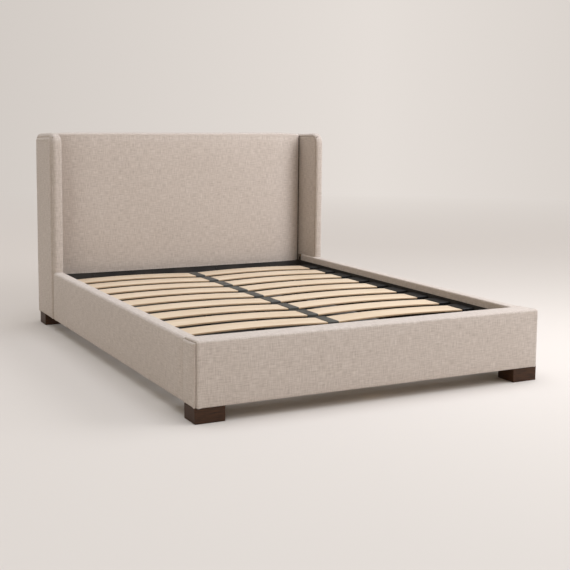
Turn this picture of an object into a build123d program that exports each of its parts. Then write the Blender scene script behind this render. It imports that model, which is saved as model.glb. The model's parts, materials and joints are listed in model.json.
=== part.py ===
from build123d import *
from math import cos, radians, sin
import os

# Wingback bed for a mattress 1524 mm wide and 2032 mm long, in millimetres.
# X runs across the bed, Y from the footboard to the headboard and Z up.
# The origin is on the floor, under the middle of the bed.

# Whole bed
BED_WIDTH = 1680
BED_LENGTH = 2330
BED_HEIGHT = 1074
UNDERSIDE = 64
RAIL_TOP = 318

# Side rails: a board with a pad stretched over its outer side, top and inner side
RAIL_THICKNESS = 60
RAIL_OUTER_PAD = 18
RAIL_TOP_PAD = 18
RAIL_INNER_PAD = 12
RAIL_OUTER_RADIUS = 18
RAIL_INNER_RADIUS = 10
RAIL_BULGE = 4

# Footboard: two boards held apart by blocks and a top rail, inside a thick pad
FOOTBOARD_THICKNESS = 130
FOOTBOARD_FRONT_PAD = 28
FOOTBOARD_TOP_PAD = 20
FOOTBOARD_BACK_PAD = 12
FOOTBOARD_FRONT_RADIUS = 30
FOOTBOARD_BACK_RADIUS = 14
FOOTBOARD_END_RADIUS = 18
FOOTBOARD_BULGE = 6
FOOTBOARD_BOARD = 18
FOOTBOARD_BLOCK = 100

# Wings: a solid core in a padded cover, notched at the foot for the end of the side rail
WING_THICKNESS = 56
WING_DEPTH = 328
WING_SIDE_PAD = 13
WING_FRONT_PAD = 16
WING_TOP_PAD = 18
WING_BACK_PAD = 5
WING_FRONT_RADIUS = 42
WING_BACK_RADIUS = 20
WING_EDGE_RADIUS = 12

# Headboard between the wings, from its front pad to the cloth on its back
HEADBOARD_THICKNESS = 160
PANEL_PAD = 45
PANEL_TOP_PAD = 18
PANEL_BULGE = 10
PANEL_TOP_RADIUS = 30
PANEL_BACK_RADIUS = 8
PANEL_TUCK_WIDTH = 26
PANEL_TUCK_DEPTH = 18
PANEL_TUCK_TOP_SHARE = 0.4
PANEL_TUCK_STEPS = 3
PANEL_CREASE = 0.3
FACE_BOARD = 12
POST_WIDTH = 45
CROSS_RAIL_HEIGHT = 60
BACK_BOARD = 6
BACK_COVER = 7
LEDGER_HEIGHT = 44

# Wooden feet
FOOT_WIDTH = 129
FOOT_DEPTH = 109
FOOT_SIDE_INSET = 4
FRONT_FOOT_INSET = 10
REAR_FOOT_INSET = 40
FOOT_CHAMFER = 2
FOOT_BOLT_RADIUS = 4
FOOT_BOLT_REACH = 30

# Steel angles round the deck and the box beam down its middle
FRAME_TOP = 284
ANGLE_HEIGHT = 34
ANGLE_WIDTH = 40
ANGLE_WALL = 3
BEAM_WIDTH = 50
BEAM_HEIGHT = 30
BEAM_WALL = 2

# Sprung slats, bowed upwards, in two columns
SLAT_WIDTH = 124
SLAT_THICKNESS = 8
SLAT_BOW = 10
SLAT_PITCH = 190.5
HEAD_GAP = 115
FOOT_GAP = 49
SLAT_END_FLOOR = 3
SLAT_END_GAP = 1
SLAT_FIT = 0.2

# Plastic holders that the slat ends plug into
HOLDER_ROOF = 3.8
HOLDER_SIDE = 4.5
HOLDER_CHAMFER = 2.5
SIDE_HOLDER_DEPTH = 64
SIDE_HOLDER_ROOF = 6.5
SIDE_CLIP_INSET = 11
SIDE_HOLDER_BACK = 4
CENTRE_HOLDER_WIDTH = 54
CENTRE_HOLDER_WEB = 14
CLIP_LENGTH = 12
CLIP_WIDTH = 7
CLIP_REACH = 4
CLIP_FIT = 0.2
CLIP_SPREAD = 70

# Centre legs with screw feet
LEG_COUNT = 3
LEG_TUBE = 35
LEG_WALL = 1.5
LEG_PLATE_WIDTH = 46
LEG_PLATE_LENGTH = 96
LEG_PLATE = 4
PLUG_FLANGE = 4
PLUG_DEPTH = 30
SCREW_FOOT_RADIUS = 23
SCREW_FOOT_HEIGHT = 10
SCREW_FOOT_CLEARANCE = 3
STEM_RADIUS = 5
STEM_LENGTH = 45
STEM_FIT = 0.1

# Corner brackets and bolts
BRACKET_LEG = 80
BRACKET_HEIGHT = 80
BRACKET_WALL = 4
BRACKET_LIFT = 46
BRACKET_BOLT_INSET = 14
BRACKET_BOLT_RADIUS = 4
BRACKET_BOLT_REACH = 15
BRACKET_HEAD_WIDTH = 13
BRACKET_HEAD_HEIGHT = 5
BOLT_FIT = 0.2

# Places worked out from the sizes above
HALF_WIDTH = BED_WIDTH / 2
FRONT_Y = -BED_LENGTH / 2
BACK_Y = BED_LENGTH / 2
FOOTBOARD_BACK_Y = FRONT_Y + FOOTBOARD_THICKNESS
WING_FRONT_Y = BACK_Y - WING_DEPTH
PANEL_FRONT_Y = BACK_Y - HEADBOARD_THICKNESS
FACE_BOARD_Y = PANEL_FRONT_Y + PANEL_PAD
POST_FRONT_Y = FACE_BOARD_Y + FACE_BOARD
BACK_COVER_Y = BACK_Y - BACK_COVER
POST_BACK_Y = BACK_COVER_Y - BACK_BOARD
RAIL_INNER_X = HALF_WIDTH - RAIL_THICKNESS
RAIL_BOARD_X = RAIL_INNER_X + RAIL_INNER_PAD
RAIL_BOARD_OUTER_X = HALF_WIDTH - RAIL_OUTER_PAD
RAIL_BOARD_TOP = RAIL_TOP - RAIL_TOP_PAD
WING_INNER_X = HALF_WIDTH - WING_THICKNESS
POST_INNER_X = WING_INNER_X - POST_WIDTH
PANEL_BOARD_TOP = BED_HEIGHT - PANEL_TOP_PAD
FOOTBOARD_CORE_FRONT_Y = FRONT_Y + FOOTBOARD_FRONT_PAD
FOOTBOARD_CORE_BACK_Y = FOOTBOARD_BACK_Y - FOOTBOARD_BACK_PAD
FOOTBOARD_CORE_TOP = RAIL_TOP - FOOTBOARD_TOP_PAD
FRAME_BOTTOM = FRAME_TOP - ANGLE_HEIGHT
ANGLE_SEAT = FRAME_BOTTOM + ANGLE_WALL
ANGLE_FACE_X = RAIL_INNER_X - ANGLE_WALL
ANGLE_TOE_X = RAIL_INNER_X - ANGLE_WIDTH
BEAM_BOTTOM = FRAME_BOTTOM - BEAM_HEIGHT
SLAT_END_Z = ANGLE_SEAT + SLAT_END_FLOOR
HOLDER_TOP = SLAT_END_Z + SLAT_THICKNESS + HOLDER_ROOF
SIDE_HOLDER_TOP = SLAT_END_Z + SLAT_THICKNESS + SIDE_HOLDER_ROOF
HOLDER_LENGTH = SLAT_WIDTH + 2 * HOLDER_SIDE
SIDE_HOLDER_X = ANGLE_FACE_X - SIDE_HOLDER_DEPTH
SLAT_INNER_X = CENTRE_HOLDER_WEB / 2 + SLAT_END_GAP
SLAT_OUTER_X = ANGLE_FACE_X - SIDE_HOLDER_BACK - SLAT_END_GAP
BRACKET_BOTTOM = UNDERSIDE + BRACKET_LIFT
OVERRUN = 5


def span_box(x, y, z):
    """Box between the low and high place given on each axis."""
    size = [high - low for low, high in (x, y, z)]
    centre = [(high + low) / 2 for low, high in (x, y, z)]
    return Pos(*centre) * Box(*size)


def along_x(section, low, high):
    """Solid of a YZ section, from one X to another."""
    return extrude(Plane.YZ.offset(low) * section, high - low)


def along_y(section, low, high):
    """Solid of an XZ section, from one Y to another."""
    return extrude(Plane.XZ.offset(-high) * section, high - low)


def other_side(shape):
    """The same piece on the other side of the bed."""
    return mirror(shape, about=Plane.YZ)


def save(name, *solids):
    """Write one node, as one solid or as a group of separate solids."""
    shape = solids[0] if len(solids) == 1 else Compound(children=list(solids))
    export_step(shape, f"parts/{name}.step")


def save_pair(name, right):
    """Write the right-hand piece and its mirror image, each in its own node."""
    save(f"right_{name}", right)
    save(f"left_{name}", other_side(right))


def slat_centres():
    """Y of each row of slats: steady steps from the headboard, and one row close to the footboard."""
    first = PANEL_FRONT_Y - HEAD_GAP - SLAT_WIDTH / 2
    last = FOOTBOARD_BACK_Y + FOOT_GAP + SLAT_WIDTH / 2
    steady_rows = int((first - last) / SLAT_PITCH)
    return [first - SLAT_PITCH * row for row in range(steady_rows)] + [last]


def leg_centres():
    """Y and name of each centre leg, spread evenly along the beam."""
    pitch = (PANEL_FRONT_Y - FOOTBOARD_BACK_Y) / LEG_COUNT
    names = ("foot", "middle", "head")
    return [(name, FOOTBOARD_BACK_Y + pitch * (n + 1 / 2)) for n, name in enumerate(names[:LEG_COUNT])]


def hex_bolt(radius, reach, head_width, head_height):
    """Bolt along +Z with the underside of its head at the origin."""
    head = Pos(0, 0, -head_height) * extrude(RegularPolygon(head_width / 2, 6, major_radius=False), head_height)
    return head + Pos(0, 0, reach / 2) * Cylinder(radius, reach)


def bolt_hole(radius, reach):
    """Cutter for the hole of a bolt along +Z, with its clearance and overrun."""
    length = reach + BOLT_FIT + OVERRUN
    return Pos(0, 0, length / 2 - OVERRUN) * Cylinder(radius + BOLT_FIT, length)


def aimed(shape, place, direction):
    """Move a piece made along +Z to a place, turned to point along a direction."""
    return Plane(origin=place, z_dir=direction).location * shape


def bracket_bolt_places():
    """Place and direction of the bolts in the four corner brackets."""
    z = BRACKET_BOTTOM + BRACKET_HEIGHT / 2
    rail_x = RAIL_BOARD_X - BRACKET_WALL
    post_x = WING_INNER_X - POST_WIDTH / 2
    places = []
    for side in (-1, 1):
        for face_y, inward in ((FOOTBOARD_CORE_BACK_Y, 1), (FACE_BOARD_Y, -1)):
            rail_y = face_y + inward * (BRACKET_LEG - BRACKET_BOLT_INSET)
            places.append(((side * rail_x, rail_y, z), (side, 0, 0)))
            places.append(((side * post_x, face_y + inward * BRACKET_WALL, z), (0, -inward, 0)))
    return places


def foot_centres():
    """X and Y of the right-hand feet: front and rear."""
    x = HALF_WIDTH - FOOT_SIDE_INSET - FOOT_WIDTH / 2
    front = FRONT_Y + FRONT_FOOT_INSET + FOOT_DEPTH / 2
    rear = BACK_Y - REAR_FOOT_INSET - FOOT_DEPTH / 2
    return {"front": (x, front), "rear": (x, rear)}


def drilled(shape):
    """A timber or bracket with the bracket bolts' holes cut out of it."""
    hole = bolt_hole(BRACKET_BOLT_RADIUS, BRACKET_BOLT_REACH)
    return shape - [aimed(hole, place, direction) for place, direction in bracket_bolt_places()]


def foot_stud_holes():
    """Cutters for the studs that join the four feet to the timbers above them."""
    hole = Cylinder(FOOT_BOLT_RADIUS + BOLT_FIT, 2 * (FOOT_BOLT_REACH + BOLT_FIT))
    return [Pos(side * x, y, UNDERSIDE) * hole for x, y in foot_centres().values() for side in (-1, 1)]


def rail_section():
    """XZ outline of the right side rail, with its soft outer side."""
    middle = (UNDERSIDE + RAIL_TOP) / 2
    low_outer = (HALF_WIDTH - RAIL_BULGE, UNDERSIDE)
    top_outer = (HALF_WIDTH - RAIL_BULGE, RAIL_TOP)
    top_inner = (RAIL_INNER_X, RAIL_TOP)
    low_inner = (RAIL_INNER_X, UNDERSIDE)
    outline = [
        Line(low_inner, low_outer),
        ThreePointArc(low_outer, (HALF_WIDTH, middle), top_outer),
        Line(top_outer, top_inner),
        Line(top_inner, low_inner),
    ]
    section = make_face(Curve() + outline)
    section = fillet(section.vertices().sort_by(Axis.Y)[-2:].sort_by(Axis.X)[-1], RAIL_OUTER_RADIUS)
    return fillet(section.vertices().sort_by_distance(top_inner)[0], RAIL_INNER_RADIUS)


def rail_board():
    """Right rail board, from the footboard to the headboard's face board."""
    x = (RAIL_BOARD_X, RAIL_BOARD_OUTER_X)
    return drilled(span_box(x, (FOOTBOARD_BACK_Y, FACE_BOARD_Y), (UNDERSIDE, RAIL_BOARD_TOP)))


def rail_cover():
    """Padded cover of the right rail, with the tongue that runs on inside the wing."""
    section = rail_section()
    reach = (UNDERSIDE - OVERRUN, RAIL_TOP + OVERRUN)
    tongue = along_y(section, WING_FRONT_Y, PANEL_FRONT_Y)
    tongue -= span_box((RAIL_BOARD_OUTER_X, HALF_WIDTH + OVERRUN), (WING_FRONT_Y, PANEL_FRONT_Y), reach)
    cover = along_y(section, FOOTBOARD_BACK_Y, WING_FRONT_Y) + tongue
    y = (FOOTBOARD_BACK_Y - OVERRUN, PANEL_FRONT_Y + OVERRUN)
    cover -= span_box((RAIL_BOARD_X, RAIL_BOARD_OUTER_X), y, (UNDERSIDE - OVERRUN, RAIL_BOARD_TOP))
    return cover - span_box((RAIL_INNER_X - OVERRUN, RAIL_BOARD_X), y, (UNDERSIDE - OVERRUN, FRAME_BOTTOM))


def footboard_cover():
    """Padded cover of the footboard, rounded over its top and its two ends."""
    middle = (UNDERSIDE + RAIL_TOP) / 2
    low_front = (FRONT_Y + FOOTBOARD_BULGE, UNDERSIDE)
    top_front = (FRONT_Y + FOOTBOARD_BULGE, RAIL_TOP)
    top_back = (FOOTBOARD_BACK_Y, RAIL_TOP)
    low_back = (FOOTBOARD_BACK_Y, UNDERSIDE)
    outline = [
        Line(low_back, low_front),
        ThreePointArc(low_front, (FRONT_Y, middle), top_front),
        Line(top_front, top_back),
        Line(top_back, low_back),
    ]
    section = make_face(Curve() + outline)
    section = fillet(section.vertices().sort_by_distance(top_front)[0], FOOTBOARD_FRONT_RADIUS)
    cover = along_x(section, -HALF_WIDTH, HALF_WIDTH)
    end_faces = cover.faces().filter_by(Axis.X)
    end_edges = [
        edge for edge in end_faces.edges()
        if edge.center().Z > UNDERSIDE + OVERRUN and edge.center().Y < FOOTBOARD_BACK_Y - OVERRUN
    ]
    cover = fillet(end_edges, FOOTBOARD_END_RADIUS)
    back_edges = cover.faces().filter_by(Axis.Y).sort_by(Axis.Y)[-1].edges().filter_by(
        lambda edge: edge.center().Z > RAIL_TOP - FOOTBOARD_END_RADIUS)
    cover = fillet(back_edges, FOOTBOARD_BACK_RADIUS)
    core_x = (-RAIL_BOARD_OUTER_X, RAIL_BOARD_OUTER_X)
    core_y = (FOOTBOARD_CORE_FRONT_Y, FOOTBOARD_CORE_BACK_Y)
    cover -= span_box(core_x, core_y, (UNDERSIDE - OVERRUN, FOOTBOARD_CORE_TOP))
    bare_y = (FOOTBOARD_CORE_BACK_Y, FOOTBOARD_BACK_Y + OVERRUN)
    return cover - span_box((-RAIL_BOARD_X, RAIL_BOARD_X), bare_y, (UNDERSIDE - OVERRUN, FRAME_BOTTOM))


def footboard_timbers():
    """Front board, back board, top rail and blocks of the footboard."""
    x = (-RAIL_BOARD_OUTER_X, RAIL_BOARD_OUTER_X)
    z = (UNDERSIDE, FOOTBOARD_CORE_TOP)
    inner_y = (FOOTBOARD_CORE_FRONT_Y + FOOTBOARD_BOARD, FOOTBOARD_CORE_BACK_Y - FOOTBOARD_BOARD)
    front = span_box(x, (FOOTBOARD_CORE_FRONT_Y, inner_y[0]), z)
    back = span_box(x, (inner_y[1], FOOTBOARD_CORE_BACK_Y), z)
    rail_z = (FOOTBOARD_CORE_TOP - FOOTBOARD_BOARD, FOOTBOARD_CORE_TOP)
    block_z = (UNDERSIDE, rail_z[0])
    end_block = span_box((RAIL_BOARD_OUTER_X - FOOTBOARD_BLOCK, RAIL_BOARD_OUTER_X), inner_y, block_z)
    middle_block = span_box((-FOOTBOARD_BLOCK / 2, FOOTBOARD_BLOCK / 2), inner_y, block_z)
    blocks = [end_block - foot_stud_holes(), middle_block]
    blocks.append(other_side(blocks[0]))
    return front, drilled(back), span_box(x, inner_y, rail_z), blocks


def side_profile(low_y, high_y, top, front_radius, back_radius):
    """YZ outline of a wing, rounded at its two upper corners."""
    size = (high_y - low_y, top - UNDERSIDE)
    section = Pos((low_y + high_y) / 2, (top + UNDERSIDE) / 2) * Rectangle(*size)
    section = fillet(section.vertices().sort_by_distance((low_y, top))[0], front_radius)
    return fillet(section.vertices().sort_by_distance((high_y, top))[0], back_radius)


def rail_notch():
    """Space at the foot of the right wing that the end of the side rail fills."""
    x = (WING_INNER_X - OVERRUN, RAIL_BOARD_OUTER_X)
    return span_box(x, (WING_FRONT_Y - OVERRUN, FACE_BOARD_Y), (UNDERSIDE - OVERRUN, RAIL_TOP))


def wing_core():
    """Solid core of the right wing."""
    front = WING_FRONT_Y + WING_FRONT_PAD
    back = BACK_Y - WING_BACK_PAD
    radii = (WING_FRONT_RADIUS - WING_FRONT_PAD, WING_BACK_RADIUS - WING_BACK_PAD)
    profile = side_profile(front, back, BED_HEIGHT - WING_TOP_PAD, *radii)
    core = along_x(profile, WING_INNER_X + WING_SIDE_PAD, HALF_WIDTH - WING_SIDE_PAD)
    return core - rail_notch()


def wing_cover():
    """Padded cover of the right wing, soft along every edge of both its sides."""
    profile = side_profile(WING_FRONT_Y, BACK_Y, BED_HEIGHT, WING_FRONT_RADIUS, WING_BACK_RADIUS)
    cover = along_x(profile, WING_INNER_X, HALF_WIDTH)
    side_edges = [
        edge for edge in cover.faces().filter_by(Axis.X).edges() if edge.center().Z > UNDERSIDE + OVERRUN
    ]
    cover = fillet(side_edges, WING_EDGE_RADIUS)
    front = WING_FRONT_Y + WING_FRONT_PAD
    back = BACK_Y - WING_BACK_PAD
    radii = (WING_FRONT_RADIUS - WING_FRONT_PAD, WING_BACK_RADIUS - WING_BACK_PAD)
    space = along_x(
        side_profile(front, back, BED_HEIGHT - WING_TOP_PAD, *radii),
        WING_INNER_X + WING_SIDE_PAD,
        HALF_WIDTH - WING_SIDE_PAD,
    )
    return cover - space - rail_notch()


def panel_section(tuck):
    """YZ outline of the headboard pad, drawn back from its full face by a tuck."""
    top = BED_HEIGHT - tuck * PANEL_TUCK_TOP_SHARE
    face = PANEL_FRONT_Y + tuck
    edge = face + PANEL_BULGE
    radius = PANEL_TOP_RADIUS
    back_radius = PANEL_BACK_RADIUS
    turn = 1 - sin(radians(45))
    low_back = (FACE_BOARD_Y, FRAME_TOP)
    low_front = (edge, FRAME_TOP)
    high_front = (edge, top - radius)
    top_front = (edge + radius, top)
    top_back = (BACK_Y - back_radius, top)
    high_back = (BACK_Y, top - back_radius)
    step_back = (BACK_Y, PANEL_BOARD_TOP)
    step_front = (FACE_BOARD_Y, PANEL_BOARD_TOP)
    outline = [
        Line(low_back, low_front),
        ThreePointArc(low_front, (face, (FRAME_TOP + top - radius) / 2), high_front),
        ThreePointArc(high_front, (edge + radius * turn, top - radius * turn), top_front),
        Line(top_front, top_back),
        ThreePointArc(top_back, (BACK_Y - back_radius * turn, top - back_radius * turn), high_back),
        Line(high_back, step_back),
        Line(step_back, step_front),
        Line(step_front, low_back),
    ]
    return make_face(Curve() + outline)


def headboard_pad():
    """Crowned pad of the headboard, tucked in beside the wings and turned over the top."""
    end = WING_INNER_X - PANEL_CREASE
    turns = [radians(90 * n / PANEL_TUCK_STEPS) for n in range(PANEL_TUCK_STEPS + 1)]
    half = [(end - PANEL_TUCK_WIDTH * (1 - cos(a)), PANEL_TUCK_DEPTH * (1 - sin(a))) for a in turns]
    places = [(-x, tuck) for x, tuck in half] + [(x, tuck) for x, tuck in reversed(half)]
    return loft([Plane.YZ.offset(x) * panel_section(tuck) for x, tuck in places], ruled=True)


def headboard_timbers():
    """Face board, posts, cross rails, back board, ledger and back cover of the headboard."""
    x = (-WING_INNER_X, WING_INNER_X)
    z = (UNDERSIDE, PANEL_BOARD_TOP)
    post_y = (POST_FRONT_Y, POST_BACK_Y)
    face = drilled(span_box(x, (FACE_BOARD_Y, POST_FRONT_Y), z))
    post = span_box((POST_INNER_X, WING_INNER_X), post_y, z) - foot_stud_holes()
    rail_x = (-POST_INNER_X, POST_INNER_X)
    rail_bottoms = (UNDERSIDE, FRAME_TOP, PANEL_BOARD_TOP - CROSS_RAIL_HEIGHT)
    rails = [span_box(rail_x, post_y, (low, low + CROSS_RAIL_HEIGHT)) for low in rail_bottoms]
    back = span_box(x, (POST_BACK_Y, BACK_COVER_Y), z)
    cloth = span_box(x, (BACK_COVER_Y, BACK_Y), z)
    ledger_z = (FRAME_TOP - LEDGER_HEIGHT, FRAME_TOP)
    ledger = span_box((-RAIL_INNER_X, RAIL_INNER_X), (PANEL_FRONT_Y, FACE_BOARD_Y), ledger_z)
    return face, [post, other_side(post)], rails, back, cloth, ledger


def foot(x, y):
    """One wooden foot with its stud hole."""
    block = Pos(x, y, UNDERSIDE / 2) * Box(FOOT_WIDTH, FOOT_DEPTH, UNDERSIDE)
    low_edges = block.edges().group_by(Axis.Z)[0]
    upright_edges = block.edges().filter_by(Axis.Z)
    block = chamfer(low_edges + upright_edges, FOOT_CHAMFER)
    return block - foot_stud_holes()


def clip_cutters(places, top):
    """Slots that the holders' clips push into, at X and Y places below a seat."""
    depth = ANGLE_WALL + 2 * OVERRUN
    slot = Box(CLIP_WIDTH + 2 * CLIP_FIT, CLIP_LENGTH + 2 * CLIP_FIT, depth)
    return [Pos(x, y, top - ANGLE_WALL / 2) * slot for x, y in places]


def clip_places(x):
    """X and Y of every clip in one line of holders."""
    return [(x, y + side * CLIP_SPREAD / 2) for y in slat_centres() for side in (-1, 1)]


def side_clip_x():
    """X of the clips under the right side holders."""
    return ANGLE_FACE_X - SIDE_CLIP_INSET


def side_angle():
    """Right steel angle, the full length of the deck."""
    y = (FOOTBOARD_BACK_Y, PANEL_FRONT_Y)
    upright = span_box((ANGLE_FACE_X, RAIL_INNER_X), y, (FRAME_BOTTOM, FRAME_TOP))
    angle = upright + span_box((ANGLE_TOE_X, RAIL_INNER_X), y, (FRAME_BOTTOM, ANGLE_SEAT))
    return angle - clip_cutters(clip_places(side_clip_x()), ANGLE_SEAT)


def cross_angle(face_y, inward):
    """Steel angle across one end of the deck, coped to fit between the side angles."""
    toe_y = face_y + inward * ANGLE_WIDTH
    wall_y = face_y + inward * ANGLE_WALL
    upright = span_box((-ANGLE_FACE_X, ANGLE_FACE_X), sorted((face_y, wall_y)), (ANGLE_SEAT, FRAME_TOP))
    ledge = span_box((-ANGLE_TOE_X, ANGLE_TOE_X), sorted((face_y, toe_y)), (FRAME_BOTTOM, ANGLE_SEAT))
    return upright + ledge


def centre_beam():
    """Steel box beam under the middle of the deck, slotted for the centre holders."""
    y = (FOOTBOARD_BACK_Y, PANEL_FRONT_Y)
    half = BEAM_WIDTH / 2
    beam = span_box((-half, half), y, (BEAM_BOTTOM, FRAME_BOTTOM))
    inner = half - BEAM_WALL
    bore_y = (y[0] - OVERRUN, y[1] + OVERRUN)
    beam -= span_box((-inner, inner), bore_y, (BEAM_BOTTOM + BEAM_WALL, FRAME_BOTTOM - BEAM_WALL))
    return beam - clip_cutters(clip_places(0), FRAME_BOTTOM)


def slat_form(fit, end_gap):
    """Bowed slat of the right column at Y zero, grown by a fit and by a gap at its ends."""
    start = SLAT_INNER_X - end_gap
    end = SLAT_OUTER_X + end_gap
    middle = (start + end) / 2
    low = SLAT_END_Z - fit
    high = SLAT_END_Z + SLAT_THICKNESS + fit
    outline = [
        ThreePointArc((start, low), (middle, low + SLAT_BOW), (end, low)),
        Line((end, low), (end, high)),
        ThreePointArc((end, high), (middle, high + SLAT_BOW), (start, high)),
        Line((start, high), (start, low)),
    ]
    half = SLAT_WIDTH / 2 + fit
    return along_y(make_face(Curve() + outline), -half, half)


def holder_block(x, z):
    """Holder body at Y zero, chamfered round its top."""
    half = HOLDER_LENGTH / 2
    body = span_box(x, (-half, half), z)
    return chamfer(body.edges().group_by(Axis.Z)[-1], HOLDER_CHAMFER)


def clips(x, top, wall):
    """The two clips under a holder at Y zero."""
    reach = wall + CLIP_REACH
    clip = Box(CLIP_WIDTH, CLIP_LENGTH, reach)
    return [Pos(x, side * CLIP_SPREAD / 2, top - reach / 2) * clip for side in (-1, 1)]


def side_holder():
    """Right side holder at Y zero: a pocket for one slat end, clipped to the angle."""
    body = holder_block((SIDE_HOLDER_X, ANGLE_FACE_X), (ANGLE_SEAT, SIDE_HOLDER_TOP))
    return body - slat_form(SLAT_FIT, SLAT_END_GAP) + clips(side_clip_x(), ANGLE_SEAT, ANGLE_WALL)


def centre_holder():
    """Double holder at Y zero, astride the beam, with a pocket for a slat on each side."""
    half = CENTRE_HOLDER_WIDTH / 2
    body = holder_block((-half, half), (FRAME_BOTTOM, HOLDER_TOP))
    pocket = slat_form(SLAT_FIT, SLAT_END_GAP)
    return body - pocket - other_side(pocket) + clips(0, FRAME_BOTTOM, BEAM_WALL)


def at_rows(shape):
    """A copy of a piece made at Y zero in every row of slats."""
    return [Pos(0, y, 0) * shape for y in slat_centres()]


def centre_leg(y):
    """Steel leg tube with the plate that bolts to the beam."""
    bottom = SCREW_FOOT_HEIGHT + SCREW_FOOT_CLEARANCE + PLUG_FLANGE
    plate_z = (BEAM_BOTTOM - LEG_PLATE, BEAM_BOTTOM)
    half = LEG_TUBE / 2
    inner = half - LEG_WALL
    tube = span_box((-half, half), (y - half, y + half), (bottom, plate_z[0]))
    tube -= span_box((-inner, inner), (y - inner, y + inner), (bottom - OVERRUN, plate_z[0]))
    half_x = LEG_PLATE_WIDTH / 2
    half_y = LEG_PLATE_LENGTH / 2
    plate = span_box((-half_x, half_x), (y - half_y, y + half_y), plate_z)
    return tube + plate


def leg_plug(y):
    """Plastic plug in the end of a leg, with the bore that the screw foot turns in."""
    low = SCREW_FOOT_HEIGHT + SCREW_FOOT_CLEARANCE
    half = LEG_TUBE / 2
    inner = half - LEG_WALL
    flange = span_box((-half, half), (y - half, y + half), (low, low + PLUG_FLANGE))
    insert = span_box((-inner, inner), (y - inner, y + inner), (low + PLUG_FLANGE, low + PLUG_DEPTH))
    bore_length = PLUG_DEPTH + 2 * OVERRUN
    return flange + insert - Pos(0, y, low + PLUG_DEPTH / 2) * Cylinder(STEM_RADIUS + STEM_FIT, bore_length)


def screw_foot(y):
    """Levelling foot: a round pad on a screwed stem."""
    pad = Pos(0, y, SCREW_FOOT_HEIGHT / 2) * Cylinder(SCREW_FOOT_RADIUS, SCREW_FOOT_HEIGHT)
    return pad + Pos(0, y, SCREW_FOOT_HEIGHT + STEM_LENGTH / 2) * Cylinder(STEM_RADIUS, STEM_LENGTH)


def corner_bracket(face_y, inward):
    """Steel angle plate that joins the right rail board to the board at one end."""
    tip_y = face_y + inward * BRACKET_LEG
    wall_y = face_y + inward * BRACKET_WALL
    z = (BRACKET_BOTTOM, BRACKET_BOTTOM + BRACKET_HEIGHT)
    rail_leg = span_box((RAIL_BOARD_X - BRACKET_WALL, RAIL_BOARD_X), sorted((face_y, tip_y)), z)
    board_leg = span_box((RAIL_BOARD_X - BRACKET_LEG, RAIL_BOARD_X), sorted((face_y, wall_y)), z)
    return drilled(rail_leg + board_leg)


def write_headboard():
    """Headboard and wings."""
    face, posts, rails, back, cloth, ledger = headboard_timbers()
    save("headboard_pad", headboard_pad())
    save("headboard_face_board", face)
    save("headboard_posts", *posts)
    save("headboard_cross_rails", *rails)
    save("headboard_back_board", back)
    save("headboard_back_cover", cloth)
    save("headboard_ledger", ledger)
    save_pair("wing_core", wing_core())
    save_pair("wing_cover", wing_cover())


def write_rails_and_footboard():
    """Side rails, footboard and the brackets that join them."""
    front, back, top_rail, blocks = footboard_timbers()
    save_pair("rail_board", rail_board())
    save_pair("rail_cover", rail_cover())
    save("footboard_cover", footboard_cover())
    save("footboard_front_board", front)
    save("footboard_back_board", back)
    save("footboard_top_rail", top_rail)
    save("footboard_blocks", *blocks)
    brackets = [corner_bracket(FOOTBOARD_CORE_BACK_Y, 1), corner_bracket(FACE_BOARD_Y, -1)]
    save("corner_brackets", *brackets, *[other_side(bracket) for bracket in brackets])
    bolt = hex_bolt(BRACKET_BOLT_RADIUS, BRACKET_BOLT_REACH, BRACKET_HEAD_WIDTH, BRACKET_HEAD_HEIGHT)
    save("bracket_bolts", *[aimed(bolt, place, direction) for place, direction in bracket_bolt_places()])


def write_feet():
    """Wooden feet and their studs."""
    stud = Cylinder(FOOT_BOLT_RADIUS, 2 * FOOT_BOLT_REACH)
    studs = []
    for end, (x, y) in foot_centres().items():
        for name, side in (("left", -1), ("right", 1)):
            save(f"{end}_{name}_foot", foot(side * x, y))
            studs.append(Pos(side * x, y, UNDERSIDE) * stud)
    save("foot_studs", *studs)


def write_deck():
    """Steel frame, slats, holders and centre legs."""
    save_pair("side_angle", side_angle())
    save("head_angle", cross_angle(PANEL_FRONT_Y, -1))
    save("foot_angle", cross_angle(FOOTBOARD_BACK_Y, 1))
    save("centre_beam", centre_beam())
    save("right_slat_holders", *at_rows(side_holder()))
    save("left_slat_holders", *at_rows(other_side(side_holder())))
    save("centre_slat_holders", *at_rows(centre_holder()))
    for row, right_slat in enumerate(at_rows(slat_form(0, 0)), start=1):
        save_pair(f"slat_{row:02d}", right_slat)
    for name, y in leg_centres():
        save(f"{name}_screw_foot", screw_foot(y))
    save("centre_legs", *[centre_leg(y) for _, y in leg_centres()])
    save("leg_plugs", *[leg_plug(y) for _, y in leg_centres()])


os.makedirs("parts", exist_ok=True)
write_headboard()
write_rails_and_footboard()
write_feet()
write_deck()
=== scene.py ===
"""Upholstered wingback bed with a slatted base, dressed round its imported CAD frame."""
import json
import logging
import math
from dataclasses import dataclass
from enum import IntEnum
from itertools import product
from typing import NamedTuple

import bmesh
import bpy
import numpy as np
from mathutils import Matrix, Vector, noise


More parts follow.
